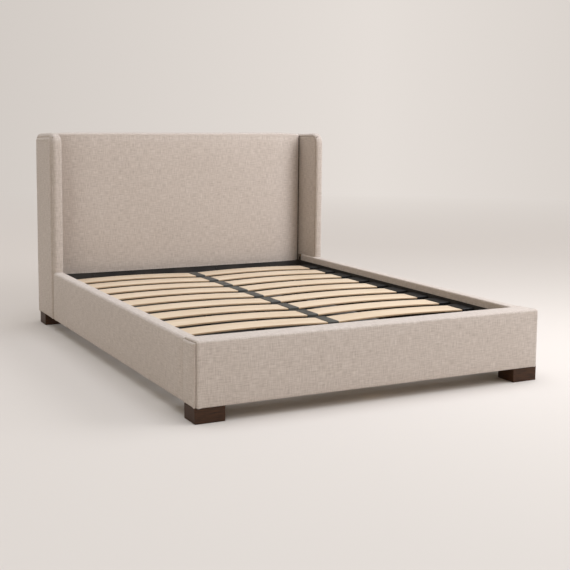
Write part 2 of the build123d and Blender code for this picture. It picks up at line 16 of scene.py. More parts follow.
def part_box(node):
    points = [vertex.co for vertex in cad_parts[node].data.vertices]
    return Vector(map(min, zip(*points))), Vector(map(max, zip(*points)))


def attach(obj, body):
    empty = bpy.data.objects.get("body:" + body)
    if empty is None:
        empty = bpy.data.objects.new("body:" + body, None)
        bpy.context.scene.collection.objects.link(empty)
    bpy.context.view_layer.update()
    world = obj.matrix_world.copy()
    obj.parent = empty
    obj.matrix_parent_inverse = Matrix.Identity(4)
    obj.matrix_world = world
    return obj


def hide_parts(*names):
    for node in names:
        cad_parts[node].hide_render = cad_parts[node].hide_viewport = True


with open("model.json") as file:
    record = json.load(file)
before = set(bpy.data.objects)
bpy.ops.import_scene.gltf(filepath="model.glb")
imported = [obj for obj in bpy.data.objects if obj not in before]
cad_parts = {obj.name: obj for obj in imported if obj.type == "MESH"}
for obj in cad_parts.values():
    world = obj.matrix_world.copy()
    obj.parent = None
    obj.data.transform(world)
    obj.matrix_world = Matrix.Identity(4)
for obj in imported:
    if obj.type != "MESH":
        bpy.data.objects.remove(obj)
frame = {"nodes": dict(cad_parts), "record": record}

log = logging.getLogger("wingback_bed")
MM = 0.001
PHOTO_SIDE = 570
BODY = "bed"
SIDES = {"left": -1, "right": 1}
Socket = bpy.types.NodeSocket


class Axis(IntEnum):
    """A direction of the bed's frame: X across, Y to the headboard, Z up."""

    X = 0
    Y = 1
    Z = 2


# Colour and node helpers


def linear(code: str) -> tuple[float, float, float, float]:
    """Turn an sRGB hex colour, such as "c4b8ab", into linear RGBA with an alpha of one."""
    shares = [int(code[n:n + 2], 16) / 255 for n in (0, 2, 4)]
    return (*(c / 12.92 if c <= 0.04045 else ((c + 0.055) / 1.055) ** 2.4 for c in shares), 1.0)


def add_node(tree: bpy.types.NodeTree, kind: str, inputs: dict | None = None, **settings) -> bpy.types.Node:
    """Add one node with its settings, its values and its links.

    Args:
        tree: the node tree to add to.
        kind: Blender's type name without the ShaderNode prefix.
        inputs: socket name or number to a value, or to an output socket to link from.
        **settings: properties of the node itself.

    Returns:
        The new node.
    """
    node = tree.nodes.new("ShaderNode" + kind)
    for name, value in settings.items():
        setattr(node, name, value)
    for key, value in (inputs or {}).items():
        if isinstance(value, Socket):
            tree.links.new(value, node.inputs[key])
        else:
            node.inputs[key].default_value = value
    return node


def add_ramp(tree: bpy.types.NodeTree, source: Socket,
             stops: tuple[tuple[float, str], ...]) -> Socket:
    """Add a colour ramp from places along it to sRGB hex colours."""
    node = add_node(tree, "ValToRGB", {"Fac": source})
    band = node.color_ramp
    while len(band.elements) < len(stops):
        band.elements.new(1.0)
    for element, (place, code) in zip(band.elements, stops):
        element.position = place
        element.color = linear(code)
    return node.outputs[0]


def backdrop_tone(tree: bpy.types.NodeTree, x: Socket, y: Socket,
                  stops: tuple[tuple[float, str], ...]) -> Socket:
    """Colour of the painted backdrop in one direction.

    Args:
        tree: the node tree to add to.
        x: the direction's part along X.
        y: the direction's part along Y.
        stops: shares of a half turn from the X axis, each with its sRGB hex colour.

    Returns:
        The colour's socket.
    """
    angle = add_node(tree, "Math", {0: y, 1: x}, operation="ARCTAN2").outputs[0]
    share = add_node(tree, "Math", {0: angle, 1: 1 / math.pi}, operation="MULTIPLY").outputs[0]
    return add_ramp(tree, share, stops)


class Shade:
    """A Principled material in the making, with the few sums that every finish needs."""

    def __init__(self, name: str) -> None:
        """Start a material of this name with an empty tree."""
        self.material = bpy.data.materials.new(name)
        self.material.use_nodes = True
        self.tree = self.material.node_tree
        self.tree.nodes.clear()
        self.place = self.add("TexCoord").outputs["Object"]

    def add(self, kind: str, inputs: dict | None = None, **settings) -> bpy.types.Node:
        """Add a node to this material's tree."""
        return add_node(self.tree, kind, inputs, **settings)

    def sum(self, operation: str, *values) -> Socket:
        """Do one Math operation on sockets or numbers."""
        return self.add("Math", dict(enumerate(values)), operation=operation).outputs[0]

    def weighted(self, *terms: tuple[Socket, float]) -> Socket:
        """Add up sockets, each times its weight."""
        total = 0.0
        for socket, weight in terms:
            total = self.sum("MULTIPLY_ADD", socket, weight, total)
        return total

    def parts(self, vector: Socket) -> bpy.types.NodeOutputs:
        """The three parts of a vector."""
        return self.add("SeparateXYZ", {0: vector}).outputs

    def facing(self) -> list[Socket]:
        """How far a face looks along each axis, from 0 to 1."""
        normal = self.parts(self.add("NewGeometry").outputs["Normal"])
        return [self.sum("ABSOLUTE", normal[n]) for n in range(3)]

    def wave(self, source: Socket, length_mm: float) -> Socket:
        """Sine wave of a real length along a coordinate in metres."""
        return self.sum("SINE", self.sum("MULTIPLY", source, 2 * math.pi / (length_mm * MM)))

    def noise(self, size_mm: float, detail: float = 2.0, roughness: float = 0.5,
              scale: tuple[float, float, float] = (1.0, 1.0, 1.0),
              source: Socket | None = None) -> Socket:
        """Noise with spots of about one size.

        Args:
            size_mm: size of the spots.
            detail: how many finer layers lie over them.
            roughness: strength of the finer layers.
            scale: stretches the coordinates on each axis; below one, the spots grow longer.
            source: the coordinates in metres, or none for the object's own.

        Returns:
            The noise's socket, from 0 to 1.
        """
        place = self.add("VectorMath", {0: source or self.place, 1: scale}, operation="MULTIPLY").outputs[0]
        inputs = {"Vector": place, "Scale": 1 / (size_mm * MM), "Detail": detail, "Roughness": roughness}
        return self.add("TexNoise", inputs).outputs[0]

    def ramp(self, source: Socket, *stops: tuple[float, str]) -> Socket:
        """Colour ramp from places along it to sRGB hex colours."""
        return add_ramp(self.tree, source, stops)

    def stretch(self, source: Socket, low: float, high: float, to_low: float = 0.0,
                to_high: float = 1.0) -> Socket:
        """Map a range of values to another range, without going past its ends."""
        inputs = {0: source, 1: low, 2: high, 3: to_low, 4: to_high}
        return self.add("MapRange", inputs, clamp=True).outputs[0]

    def blend(self, share, first, second) -> Socket:
        """Mix two colours by a share."""
        return self.add("Mix", {0: share, 6: first, 7: second}, data_type="RGBA").outputs[2]

    def bump(self, height: Socket, depth_mm: float,
             strength: float = 0.5) -> Socket:
        """Bump normal from a height between zero and one, with a real depth in millimetres."""
        inputs = {"Height": height, "Distance": depth_mm * MM, "Strength": strength}
        return self.add("Bump", inputs).outputs[0]

    def finish(self, **surface) -> bpy.types.Material:
        """Close the tree with a Principled surface.

        Args:
            **surface: Principled sockets, with underscores for spaces.

        Returns:
            The finished material.
        """
        inputs = {name.replace("_", " "): value for name, value in surface.items()}
        shader = self.add("BsdfPrincipled", inputs)
        self.add("OutputMaterial", {"Surface": shader.outputs[0]})
        return self.material


# Finishes


@dataclass(frozen=True)
class LinenWeave:
    """Polyester and linen upholstery cloth, plain woven from slubbed two-tone yarn.

    Soft and matt: light yarns over darker ones give a dry, cross-hatched mottle.
    """

    name: str = "linen_weave"
    slot: str = "upholstery"
    shadow_yarn: str = "a99d93"
    body_yarn: str = "beb2a8"
    light_yarn: str = "cfc5bc"
    # Real yarns lie 1.1 mm apart. They are drawn 4 mm apart, the finest that shows in the render.
    yarn_mm: float = 4.0
    slub_length_mm: float = 38.0
    slub_width_mm: float = 4.0
    patch_mm: float = 260.0
    patch_share: float = 0.08
    weave_depth_mm: float = 0.5
    weave_share: float = 0.25
    slub_share: float = 1.2
    roughness: float = 0.92
    sheen: float = 0.25
    sheen_roughness: float = 0.5

    def build(self) -> bpy.types.Material:
        """Make the cloth material, with its yarns in the plane of each face."""
        s = Shade(self.name)
        along, across = self._cloth_axes(s)
        flat = s.add("CombineXYZ", {0: along, 1: across}).outputs[0]
        ratio = self.slub_width_mm / self.slub_length_mm
        weft, warp = (s.noise(self.slub_width_mm, 1.0, 0.4, scale, flat)
                      for scale in ((ratio, 1.0, 1.0), (1.0, ratio, 1.0)))
        yarns = s.weighted((weft, 0.5), (warp, 0.5))
        patches = s.sum("SUBTRACT", s.noise(self.patch_mm, 3.0), 0.5)
        colour = s.ramp(s.sum("MULTIPLY_ADD", patches, self.patch_share, yarns),
                        (0.27, self.shadow_yarn), (0.5, self.body_yarn), (0.76, self.light_yarn))
        weave = s.sum("MULTIPLY", s.wave(along, self.yarn_mm), s.wave(across, self.yarn_mm))
        height = s.weighted((weave, self.weave_share), (yarns, self.slub_share))
        return s.finish(Base_Color=colour, Roughness=self.roughness, Specular_IOR_Level=0.2,
                        Normal=s.bump(height, self.weave_depth_mm), Sheen_Weight=self.sheen,
                        Sheen_Roughness=self.sheen_roughness)

    @staticmethod
    def _cloth_axes(s: Shade) -> tuple[Socket, Socket]:
        """Coordinates along and across the cloth on each face, in metres.

        Args:
            s: the material in the making.

        Returns:
            One socket for each of the cloth's two directions.
        """
        place, size = s.parts(s.place), s.facing()
        faces_side = s.sum("GREATER_THAN", size[0], s.sum("MAXIMUM", size[1], size[2]))
        faces_up = s.sum("GREATER_THAN", size[2], s.sum("MAXIMUM", size[0], size[1]))
        along = s.add("Mix", {0: faces_side, 2: place[0], 3: place[1]}, data_type="FLOAT").outputs[0]
        across = s.add("Mix", {0: faces_up, 2: place[2], 3: place[1]}, data_type="FLOAT").outputs[0]
        return along, across


@dataclass(frozen=True)
class BirchPly:
    """Birch plywood bent to a bow, with sanded faces under a thin lacquer.

    Pale, with fine grain along the slat, and darker where the long edges show the veneers' ends.
    """

    name: str = "birch_ply"
    slot: str = "slat_wood"
    pale: str = "d6c3aa"
    grain: str = "c8b194"
    edge: str = "cfb391"
    edge_line: str = "a98b6a"
    veneer_mm: float = 1.5
    grain_width_mm: float = 6.0
    grain_length_mm: float = 220.0
    grain_depth_mm: float = 0.15
    cloud_mm: float = 90.0
    roughness: float = 0.5

    def build(self) -> bpy.types.Material:
        """Make the slat material."""
        s = Shade(self.name)
        ratio = self.grain_width_mm / self.grain_length_mm
        fibres = s.noise(self.grain_width_mm, 4.0, 0.6, (ratio, 1.0, ratio))
        clouds = s.noise(self.cloud_mm, scale=(0.3, 1.0, 0.3))
        top = s.ramp(s.weighted((fibres, 0.6), (clouds, 0.4)), (0.35, self.grain), (0.6, self.pale))
        veneers = s.wave(s.parts(s.place)[2], self.veneer_mm)
        side = s.ramp(s.stretch(veneers, -1.0, 1.0), (0.0, self.edge_line), (0.6, self.edge))
        is_side = s.stretch(s.facing()[1], 0.45, 0.8)
        return s.finish(Base_Color=s.blend(is_side, top, side), Roughness=self.roughness,
                        Normal=s.bump(fibres, self.grain_depth_mm), Specular_IOR_Level=0.4)


@dataclass(frozen=True)
class StainedWood:
    """Solid wood with a stain and an open satin finish, grain along the X axis."""

    name: str
    slot: str
    dark: str
    light: str
    grain_width_mm: float = 3.0
    grain_length_mm: float = 60.0
    roughness: float = 0.45
    roughness_range: float = 0.12
    grain_depth_mm: float = 0.3
    bend_mm: float = 80.0
    bend_height_mm: float = 20.0

    def build(self) -> bpy.types.Material:
        """Make the wood material, with pores that run along the grain."""
        s = Shade(self.name)
        lift = s.sum("MULTIPLY", s.noise(self.bend_mm), self.bend_height_mm * MM)
        offset = s.add("CombineXYZ", {2: lift}).outputs[0]
        bent = s.add("VectorMath", {0: s.place, 1: offset}, operation="ADD").outputs[0]
        scale = (self.grain_width_mm / self.grain_length_mm, 1.0, 1.0)
        grain = s.noise(self.grain_width_mm, 5.0, 0.65, scale, bent)
        rough = s.stretch(grain, 0.3, 0.7, self.roughness + self.roughness_range, self.roughness)
        return s.finish(Base_Color=s.ramp(grain, (0.38, self.dark), (0.62, self.light)), Roughness=rough,
                        Normal=s.bump(grain, self.grain_depth_mm), Specular_IOR_Level=0.3)


@dataclass(frozen=True)
class PowderCoat:
    """Mild steel with a baked powder coat: near black, satin, with a faint orange peel."""

    name: str = "powder_coat"
    slot: str = "black_steel"
    colour: str = "2b2826"
    worn: str = "3e3934"
    peel_mm: float = 2.2
    peel_depth_mm: float = 0.08
    dust_mm: float = 130.0
    roughness: float = 0.48
    roughness_range: float = 0.12

    def build(self) -> bpy.types.Material:
        """Make the coated steel material."""
        s = Shade(self.name)
        peel, dust = s.noise(self.peel_mm), s.noise(self.dust_mm, 4.0)
        rough = s.stretch(dust, 0.3, 0.7, self.roughness, self.roughness + self.roughness_range)
        return s.finish(Base_Color=s.ramp(dust, (0.4, self.colour), (0.75, self.worn)), Roughness=rough,
                        Normal=s.bump(peel, self.peel_depth_mm), Specular_IOR_Level=0.3)


@dataclass(frozen=True)
class MouldedPlastic:
    """Injection-moulded polypropylene: matt, with the fine spark texture of its mould."""

    name: str
    slot: str
    colour: str
    light: str
    texture_mm: float = 1.4
    texture_depth_mm: float = 0.1
    flow_mm: float = 60.0
    roughness: float = 0.55

    def build(self) -> bpy.types.Material:
        """Make the moulded plastic material."""
        s = Shade(self.name)
        spark, flow = s.noise(self.texture_mm, 3.0), s.noise(self.flow_mm)
        colour = s.ramp(flow, (0.35, self.colour), (0.7, self.light))
        return s.finish(Base_Color=colour, Roughness=self.roughness, Specular_IOR_Level=0.3,
                        Normal=s.bump(spark, self.texture_depth_mm, 0.6))


@dataclass(frozen=True)
class ZincPlate:
    """Steel with a bright zinc plate: pale grey and slightly uneven."""

    name: str = "zinc_plate"
    slot: str = "zinc_bolts"
    colour: str = "b9bab8"
    dull: str = "989a98"
    cloud_mm: float = 4.0
    roughness: float = 0.35
    roughness_range: float = 0.15

    def build(self) -> bpy.types.Material:
        """Make the plated steel material."""
        s = Shade(self.name)
        cloud = s.noise(self.cloud_mm, 3.0)
        rough = s.stretch(cloud, 0.3, 0.7, self.roughness + self.roughness_range, self.roughness)
        return s.finish(Base_Color=s.ramp(cloud, (0.3, self.dull), (0.7, self.colour)), Metallic=1.0,
                        Roughness=rough)


Finish = LinenWeave | BirchPly | StainedWood | PowderCoat | MouldedPlastic | ZincPlate
CLOTH = LinenWeave()
SLAT_PLY = BirchPly()
DARK_WALNUT = StainedWood("dark_walnut", "dark_feet", "251306", "482b14")
RAW_PLYWOOD = StainedWood("raw_plywood", "board", "b08f63", "cbab7d", 5.0, 180.0, 0.7)
PLANED_SOFTWOOD = StainedWood("planed_softwood", "softwood", "c19f6c", "dfc294", 7.0, 260.0, 0.65)
BLACK_COAT = PowderCoat()
# Painted light: a lighter brown-grey copy of the black coat for the centre beam, for the overhead light and
# satin reflection on its top.
LIT_BEAM_COAT = PowderCoat("black_coat_painted_light", "black_steel", "463a31", "57493e")
# Painted shade: a dark copy of the plywood for the boards deep inside the bed, where shade falls.
SHADED_PLYWOOD = StainedWood("plywood_painted_shade", "board", "33291f", "46392c", 5.0, 180.0, 0.7)
HOLDER_PLASTIC = MouldedPlastic("holder_plastic", "holder_plastic", "403f3c", "504f4a")
# Painted shade: a near-black copy of the holder plastic for the side holders, which lie in the rails' shadow.
SHADED_SIDE_HOLDER_PLASTIC = MouldedPlastic("holder_plastic_painted_shade", "holder_plastic", "121110", "1b1918")
FOOT_PLASTIC = MouldedPlastic("foot_plastic", "foot_plastic", "1c1c1c", "2a2a2a")
ZINC = ZincPlate()


class Finishes:
    """The bed's finishes, each built once."""

    def __init__(self) -> None:
        """Start with none built."""
        self._made: dict[str, bpy.types.Material] = {}

    def of(self, finish: Finish) -> bpy.types.Material:
        """Material of a finish, built on its first use."""
        if finish.name not in self._made:
            self._made[finish.name] = finish.build()
        return self._made[finish.name]

    def dress(self, piece: bpy.types.Object, finish: Finish) -> None:
        """Give a piece its material."""
        piece.data.materials.clear()
        piece.data.materials.append(self.of(finish))


# Mesh helpers

FINE_EDGE = (0, 1.5 * MM, 3 * MM, 5 * MM, 8 * MM, 12 * MM)
SEAM_STEPS = FINE_EDGE[:-1]
HEM_STEPS = (0, 2 * MM, 4 * MM, 6 * MM)
FIRST_STEPS = (0, 3 * MM)
FINE_STEP = 6 * MM
LEAST_STEP = 3 * MM
LEAST_END_STEP = 2 * MM
CELL = 14 * MM
# A point this near a side of the plain box lies on it.
ON_FACE = 1e-5
# A cavity runs this far past the cover's own sides, and this far into the cavity beside it.
OVERRUN = 5 * MM
OVERLAP = 0.5 * MM


class Span(NamedTuple):
    """A stretch along one axis, and the distance over which a bulge rises from each of its ends."""

    axis: Axis
    low: float
    high: float
    rise: float


@dataclass(frozen=True)
class Block:
    """A box between two corners, in metres."""

    low: Vector
    high: Vector

    @staticmethod
    def of_node(name: str) -> "Block":
        """The box that a CAD node fills."""
        return Block(*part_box(name))

    @staticmethod
    def between(*pairs: tuple[float, float]) -> "Block":
        """The box between two places on each axis, which stand in either order."""
        return Block(Vector([min(pair) for pair in pairs]), Vector([max(pair) for pair in pairs]))

    def side(self, axis: int, side: int) -> float:
        """Place of one side of the box."""
        return (self.high if side > 0 else self.low)[axis]

    def grown(self, *sides: tuple[Axis, int, float]) -> "Block":
        """The same box with some sides moved outwards, or inwards by a value below zero."""
        low, high = self.low.copy(), self.high.copy()
        for axis, side, outwards in sides:
            (high if side > 0 else low)[axis] += side * outwards
        return Block(low, high)

    def span(self, axis: Axis, rise: float, low_inset: float = 0.0, high_inset: float = 0.0) -> Span:
        """The stretch between two sides of the box, shorter by an inset at each end."""
        return Span(axis, self.low[axis] + low_inset, self.high[axis] - high_inset, rise)


@dataclass(frozen=True)
class Lines:
    """Grid lines along one axis: close together at both ends and at joints, and a cell apart between."""

    low_fine: tuple[float, ...]
    high_fine: tuple[float, ...]
    joints: tuple[float, ...] = ()
    cell: float = CELL

    def places(self, low: float, high: float) -> list[float]:
        """Places of the lines from one side of a box to the other, in rising order."""
        start, stop = low + self.low_fine[-1], high - self.high_fine[-1]
        count = max(1, round((stop - start) / self.cell))
        steady = [start + (stop - start) * n / count for n in range(count + 1)]
        close = [place + side * step for place in self.joints for side in (-1, 1) for step in SEAM_STEPS]
        steady = [p for p in steady if all(abs(p - c) > LEAST_STEP for c in close)]
        ends = [low, high] + [low + d for d in self.low_fine] + [high - d for d in self.high_fine]
        return sorted(set(round(p, 6) for p in steady + close + ends if low - 1e-9 <= p <= high + 1e-9))


def fine_to(radius: float, first: tuple[float, ...] = FINE_EDGE) -> tuple[float, ...]:
    """Close grid lines from a side to the end of a rounding, with even steps past the first ones."""
    kept = [d for d in first if d < radius - LEAST_END_STEP]
    rest = radius - kept[-1]
    count = max(1, round(rest / FINE_STEP))
    return tuple(kept) + tuple(kept[-1] + rest * (n + 1) / count for n in range(count))


def box_mesh(block: Block) -> bmesh.types.BMesh:
    """Plain box as a bmesh, for a cutter."""
    shape = bmesh.new()
    size = block.high - block.low
    move = Matrix.Translation((block.low + block.high) / 2) @ Matrix.Diagonal((*size, 1.0))
    bmesh.ops.create_cube(shape, size=1.0, matrix=move)
    return shape


def new_piece(name: str, shape: bmesh.types.BMesh) -> bpy.types.Object:
    """Put a bmesh into a new object of the scene and free it."""
    mesh = bpy.data.meshes.new(name)
    shape.normal_update()
    shape.to_mesh(mesh)
    shape.free()
    piece = bpy.data.objects.new(name, mesh)
    bpy.context.scene.collection.objects.link(piece)
    return piece


def grid_box(name: str, places: list[list[float]]) -> bpy.types.Object:
    """Closed box whose faces are grids of quads.

    Args:
        name: the piece's name.
        places: where the grid lines stand on each axis, in rising order.

    Returns:
        The new piece.
    """
    shape = bmesh.new()
    corners: dict[tuple[int, ...], bmesh.types.BMVert] = {}
    for axis in Axis:
        first, second = (axis + 1) % 3, (axis + 2) % 3
        for end in (0, len(places[axis]) - 1):
            for a, b in product(range(len(places[first]) - 1), range(len(places[second]) - 1)):
                ring = [(a, b), (a + 1, b), (a + 1, b + 1), (a, b + 1)]
                verts = []
                for along, across in ring if end else reversed(ring):
                    index = [0, 0, 0]
                    index[axis], index[first], index[second] = end, along, across
                    key = tuple(index)
                    if key not in corners:
                        corners[key] = shape.verts.new([places[n][index[n]] for n in range(3)])
                    verts.append(corners[key])
                shape.faces.new(verts)
    return new_piece(name, shape)


def bridge(shape: bmesh.types.BMesh, rings: list[list[bmesh.types.BMVert]]) -> None:
    """Join each closed ring of vertices to the next one with faces; one vertex alone is a tip."""
    for first, second in zip(rings, rings[1:]):
        count = max(len(first), len(second))
        for n in range(count):
            steps = ((first, n), (first, n + 1), (second, n + 1), (second, n))
            corners = dict.fromkeys(ring[step % count % len(ring)] for ring, step in steps)
            shape.faces.new(list(corners))


def bake(piece: bpy.types.Object) -> None:
    """Apply every modifier of a piece to its mesh."""
    graph = bpy.context.evaluated_depsgraph_get()
    graph.update()
    settled = piece.evaluated_get(graph)
    baked = bpy.data.meshes.new_from_object(settled, preserve_all_data_layers=True, depsgraph=graph)
    piece.modifiers.clear()
    old = piece.data
    piece.data = baked
    bpy.data.meshes.remove(old)


def read_vectors(items: bpy.types.bpy_prop_collection, name: str = "co") -> np.ndarray:
    """One vector of each of a mesh's items, such as its vertices' places, as an array."""
    flat = np.empty(len(items) * 3)
    items.foreach_get(name, flat)
    return flat.reshape(-1, 3)


def set_points(mesh: bpy.types.Mesh, points: np.ndarray) -> None:
    """Move a mesh's vertices to new places."""
    mesh.vertices.foreach_set("co", points.ravel())
    mesh.update()


def carve(piece: bpy.types.Object, cavities: tuple[Block, ...]) -> None:
    """Cut boxes out of a piece, for the boards inside it and the pieces beside it."""
    for cavity in cavities:
        cutter = new_piece("cutter", box_mesh(cavity))
        cut = piece.modifiers.new("cut", "BOOLEAN")
        cut.operation = "DIFFERENCE"
        cut.solver = "MANIFOLD"
        cut.object = cutter
        bake(piece)
        bpy.data.objects.remove(cutter)


def waves(points: np.ndarray, length: float, seed: float) -> np.ndarray:
    """Smooth noise from -1 to 1 at each point, with waves of about one length."""
    shift = Vector((seed, seed * 1.7, seed * 0.6))
    return np.array([noise.noise(Vector(p) / length + shift) for p in points])


def shade_smooth(piece: bpy.types.Object, sharp_degrees: float = 40.0) -> None:
    """Shade a piece smooth, but keep its sharper edges."""
    piece.data.shade_smooth()
    piece.data.set_sharp_from_angle(angle=math.radians(sharp_degrees))


def square_to_round(first: np.ndarray, second: np.ndarray, radius: float) -> tuple[np.ndarray, np.ndarray]:
    """Bend the corner square of a grid into a quarter of a disc.

    Args:
        first: each point's distance from one of the corner's two sides.
        second: its distance from the other side.
        radius: side of the square and radius of the disc.

    Returns:
        The two distances after the bend, unchanged outside the square.
    """
    u, v = radius - first, radius - second
    inside = (u > 0) & (v > 0)
    ring = np.maximum(u, v)
    share = np.where(inside, np.minimum(u, v) / np.where(inside, ring, 1.0), 0.0)
    angle = math.pi / 4 * share
    long, short = ring * np.cos(angle), ring * np.sin(angle)
    bent = (np.where(u >= v, long, short), np.where(u >= v, short, long))
    return tuple(np.where(inside, radius - new, old) for new, old in zip(bent, (first, second)))


# Stretched covers

# Height of the short ripples beside the long ones, and of all ripples on a soft side that doesn't bulge.
FINE_RIPPLE_SHARE = 0.3
FLAT_SIDE_SHARE = 0.6
# Height of the low ridge on each side of a seam, beside the seam's depth.
RIDGE_SHARE = 0.25
SETTLE_FRAMES = 20
CLOTH_SETTINGS = {"quality": 4, "mass": 0.4, "tension_stiffness": 12, "compression_stiffness": 12,
                  "bending_stiffness": 1.0, "use_pressure": True, "uniform_pressure_force": 4.0}


@dataclass(frozen=True)
class Corner:
    """A rounded corner of a cover's profile: -1 or 1 on each of its two axes, and the radius."""

    ends: tuple[int, int]
    radius: float


@dataclass(frozen=True)
class Bulge:
    """A face of a cover that its filling pushes outwards, inside one span on each of the face's axes."""

    face: Axis
    side: int
    height: float
    spans: tuple[Span, Span]

    def share(self, box: np.ndarray, block: Block) -> np.ndarray:
        """Share of the full height at each point of the plain box, zero off this face."""
        share = (np.abs(box[:, self.face] - block.side(self.face, self.side)) < ON_FACE).astype(float)
        for span in self.spans:
            place = box[:, span.axis]
            inwards = np.clip(np.minimum(place - span.low, span.high - place) / span.rise, 0, 1)
            share *= 1 - (1 - inwards) ** 2
        return share


@dataclass(frozen=True)
class Seam:
    """A sewn seam, or a joint with a neighbour.

    It lies in a plane, along the rounded edge round one end of the cover's run, or, with both given, where
    the plane meets that end.
    """

    depth: float
    width: float
    end: int = 0
    plane: tuple[Axis, float] | None = None

    def push(self, cover: "Cover", box: np.ndarray) -> np.ndarray:
        """How far each point of the plain box is pushed out: in at the seam, and a little out beside it."""
        gap = np.abs(box[:, self.plane[0]] - self.plane[1]) if self.plane else cover.from_outline(box)[0]
        if self.end:
            gap = np.maximum(cover.from_end(box, self.end), gap)
        ridge = RIDGE_SHARE * np.exp(-((gap - 3 * self.width) / (1.5 * self.width)) ** 2)
        return self.depth * (ridge - np.exp(-(gap / self.width) ** 2))


@dataclass(frozen=True)
class StripCrown:
    """Arch of the strip that runs round a cover's profile between its two end seams."""

    height: float

    def push(self, cover: "Cover", box: np.ndarray) -> np.ndarray:
        """How far each point of the plain box is pushed out."""
        half = abs(cover.block.side(cover.run, 1) - cover.block.side(cover.run, -1)) / 2
        out = 1 - np.clip(np.minimum(cover.from_end(box, -1), cover.from_end(box, 1)) / half, 0, 1)
        return self.height * np.sqrt(1 - out ** 2) * (cover.from_outline(box)[0] < ON_FACE)


@dataclass(frozen=True)
class Tuck:
    """The ends of a pad: drawn in beside its neighbours in a parabola, with a rounded edge."""

    width: float
    edge: float
    pulls: tuple[tuple[Axis, int, float], ...]
    parabola_share: float = 0.55

    def move(self, cover: "Cover", box: np.ndarray) -> np.ndarray:
        """How far each point of the plain box is pulled."""
        inset = np.minimum(cover.from_end(box, -1), cover.from_end(box, 1))
        out, over = (1 - np.clip(inset / reach, 0, 1) for reach in (self.width, self.edge))
        pull = self.parabola_share * out ** 2 + (1 - self.parabola_share) * (1 - np.sqrt(1 - over ** 2))
        move = np.zeros_like(box)
        for axis, side, depth in self.pulls:
            far = cover.block.side(axis, -side)
            share = (box[:, axis] - far) / (cover.block.side(axis, side) - far)
            move[:, axis] -= side * depth * pull * share
        return move


@dataclass(frozen=True)
class Lean:
    """A side of a cover that leans out, or in, from one place along another axis to a second place."""

    face: Axis
    side: int
    reach: float
    along: Axis
    starts: float
    full: float

    def move(self, cover: "Cover", box: np.ndarray) -> np.ndarray:
        """How far each point of the plain box is moved."""
        near, far = cover.block.side(self.face, self.side), cover.block.side(self.face, -self.side)
        share = np.clip((box[:, self.along] - self.starts) / (self.full - self.starts), 0, 1)
        move = np.zeros_like(box)
        move[:, self.face] = self.side * self.reach * share * (box[:, self.face] - far) / (near - far)
        return move


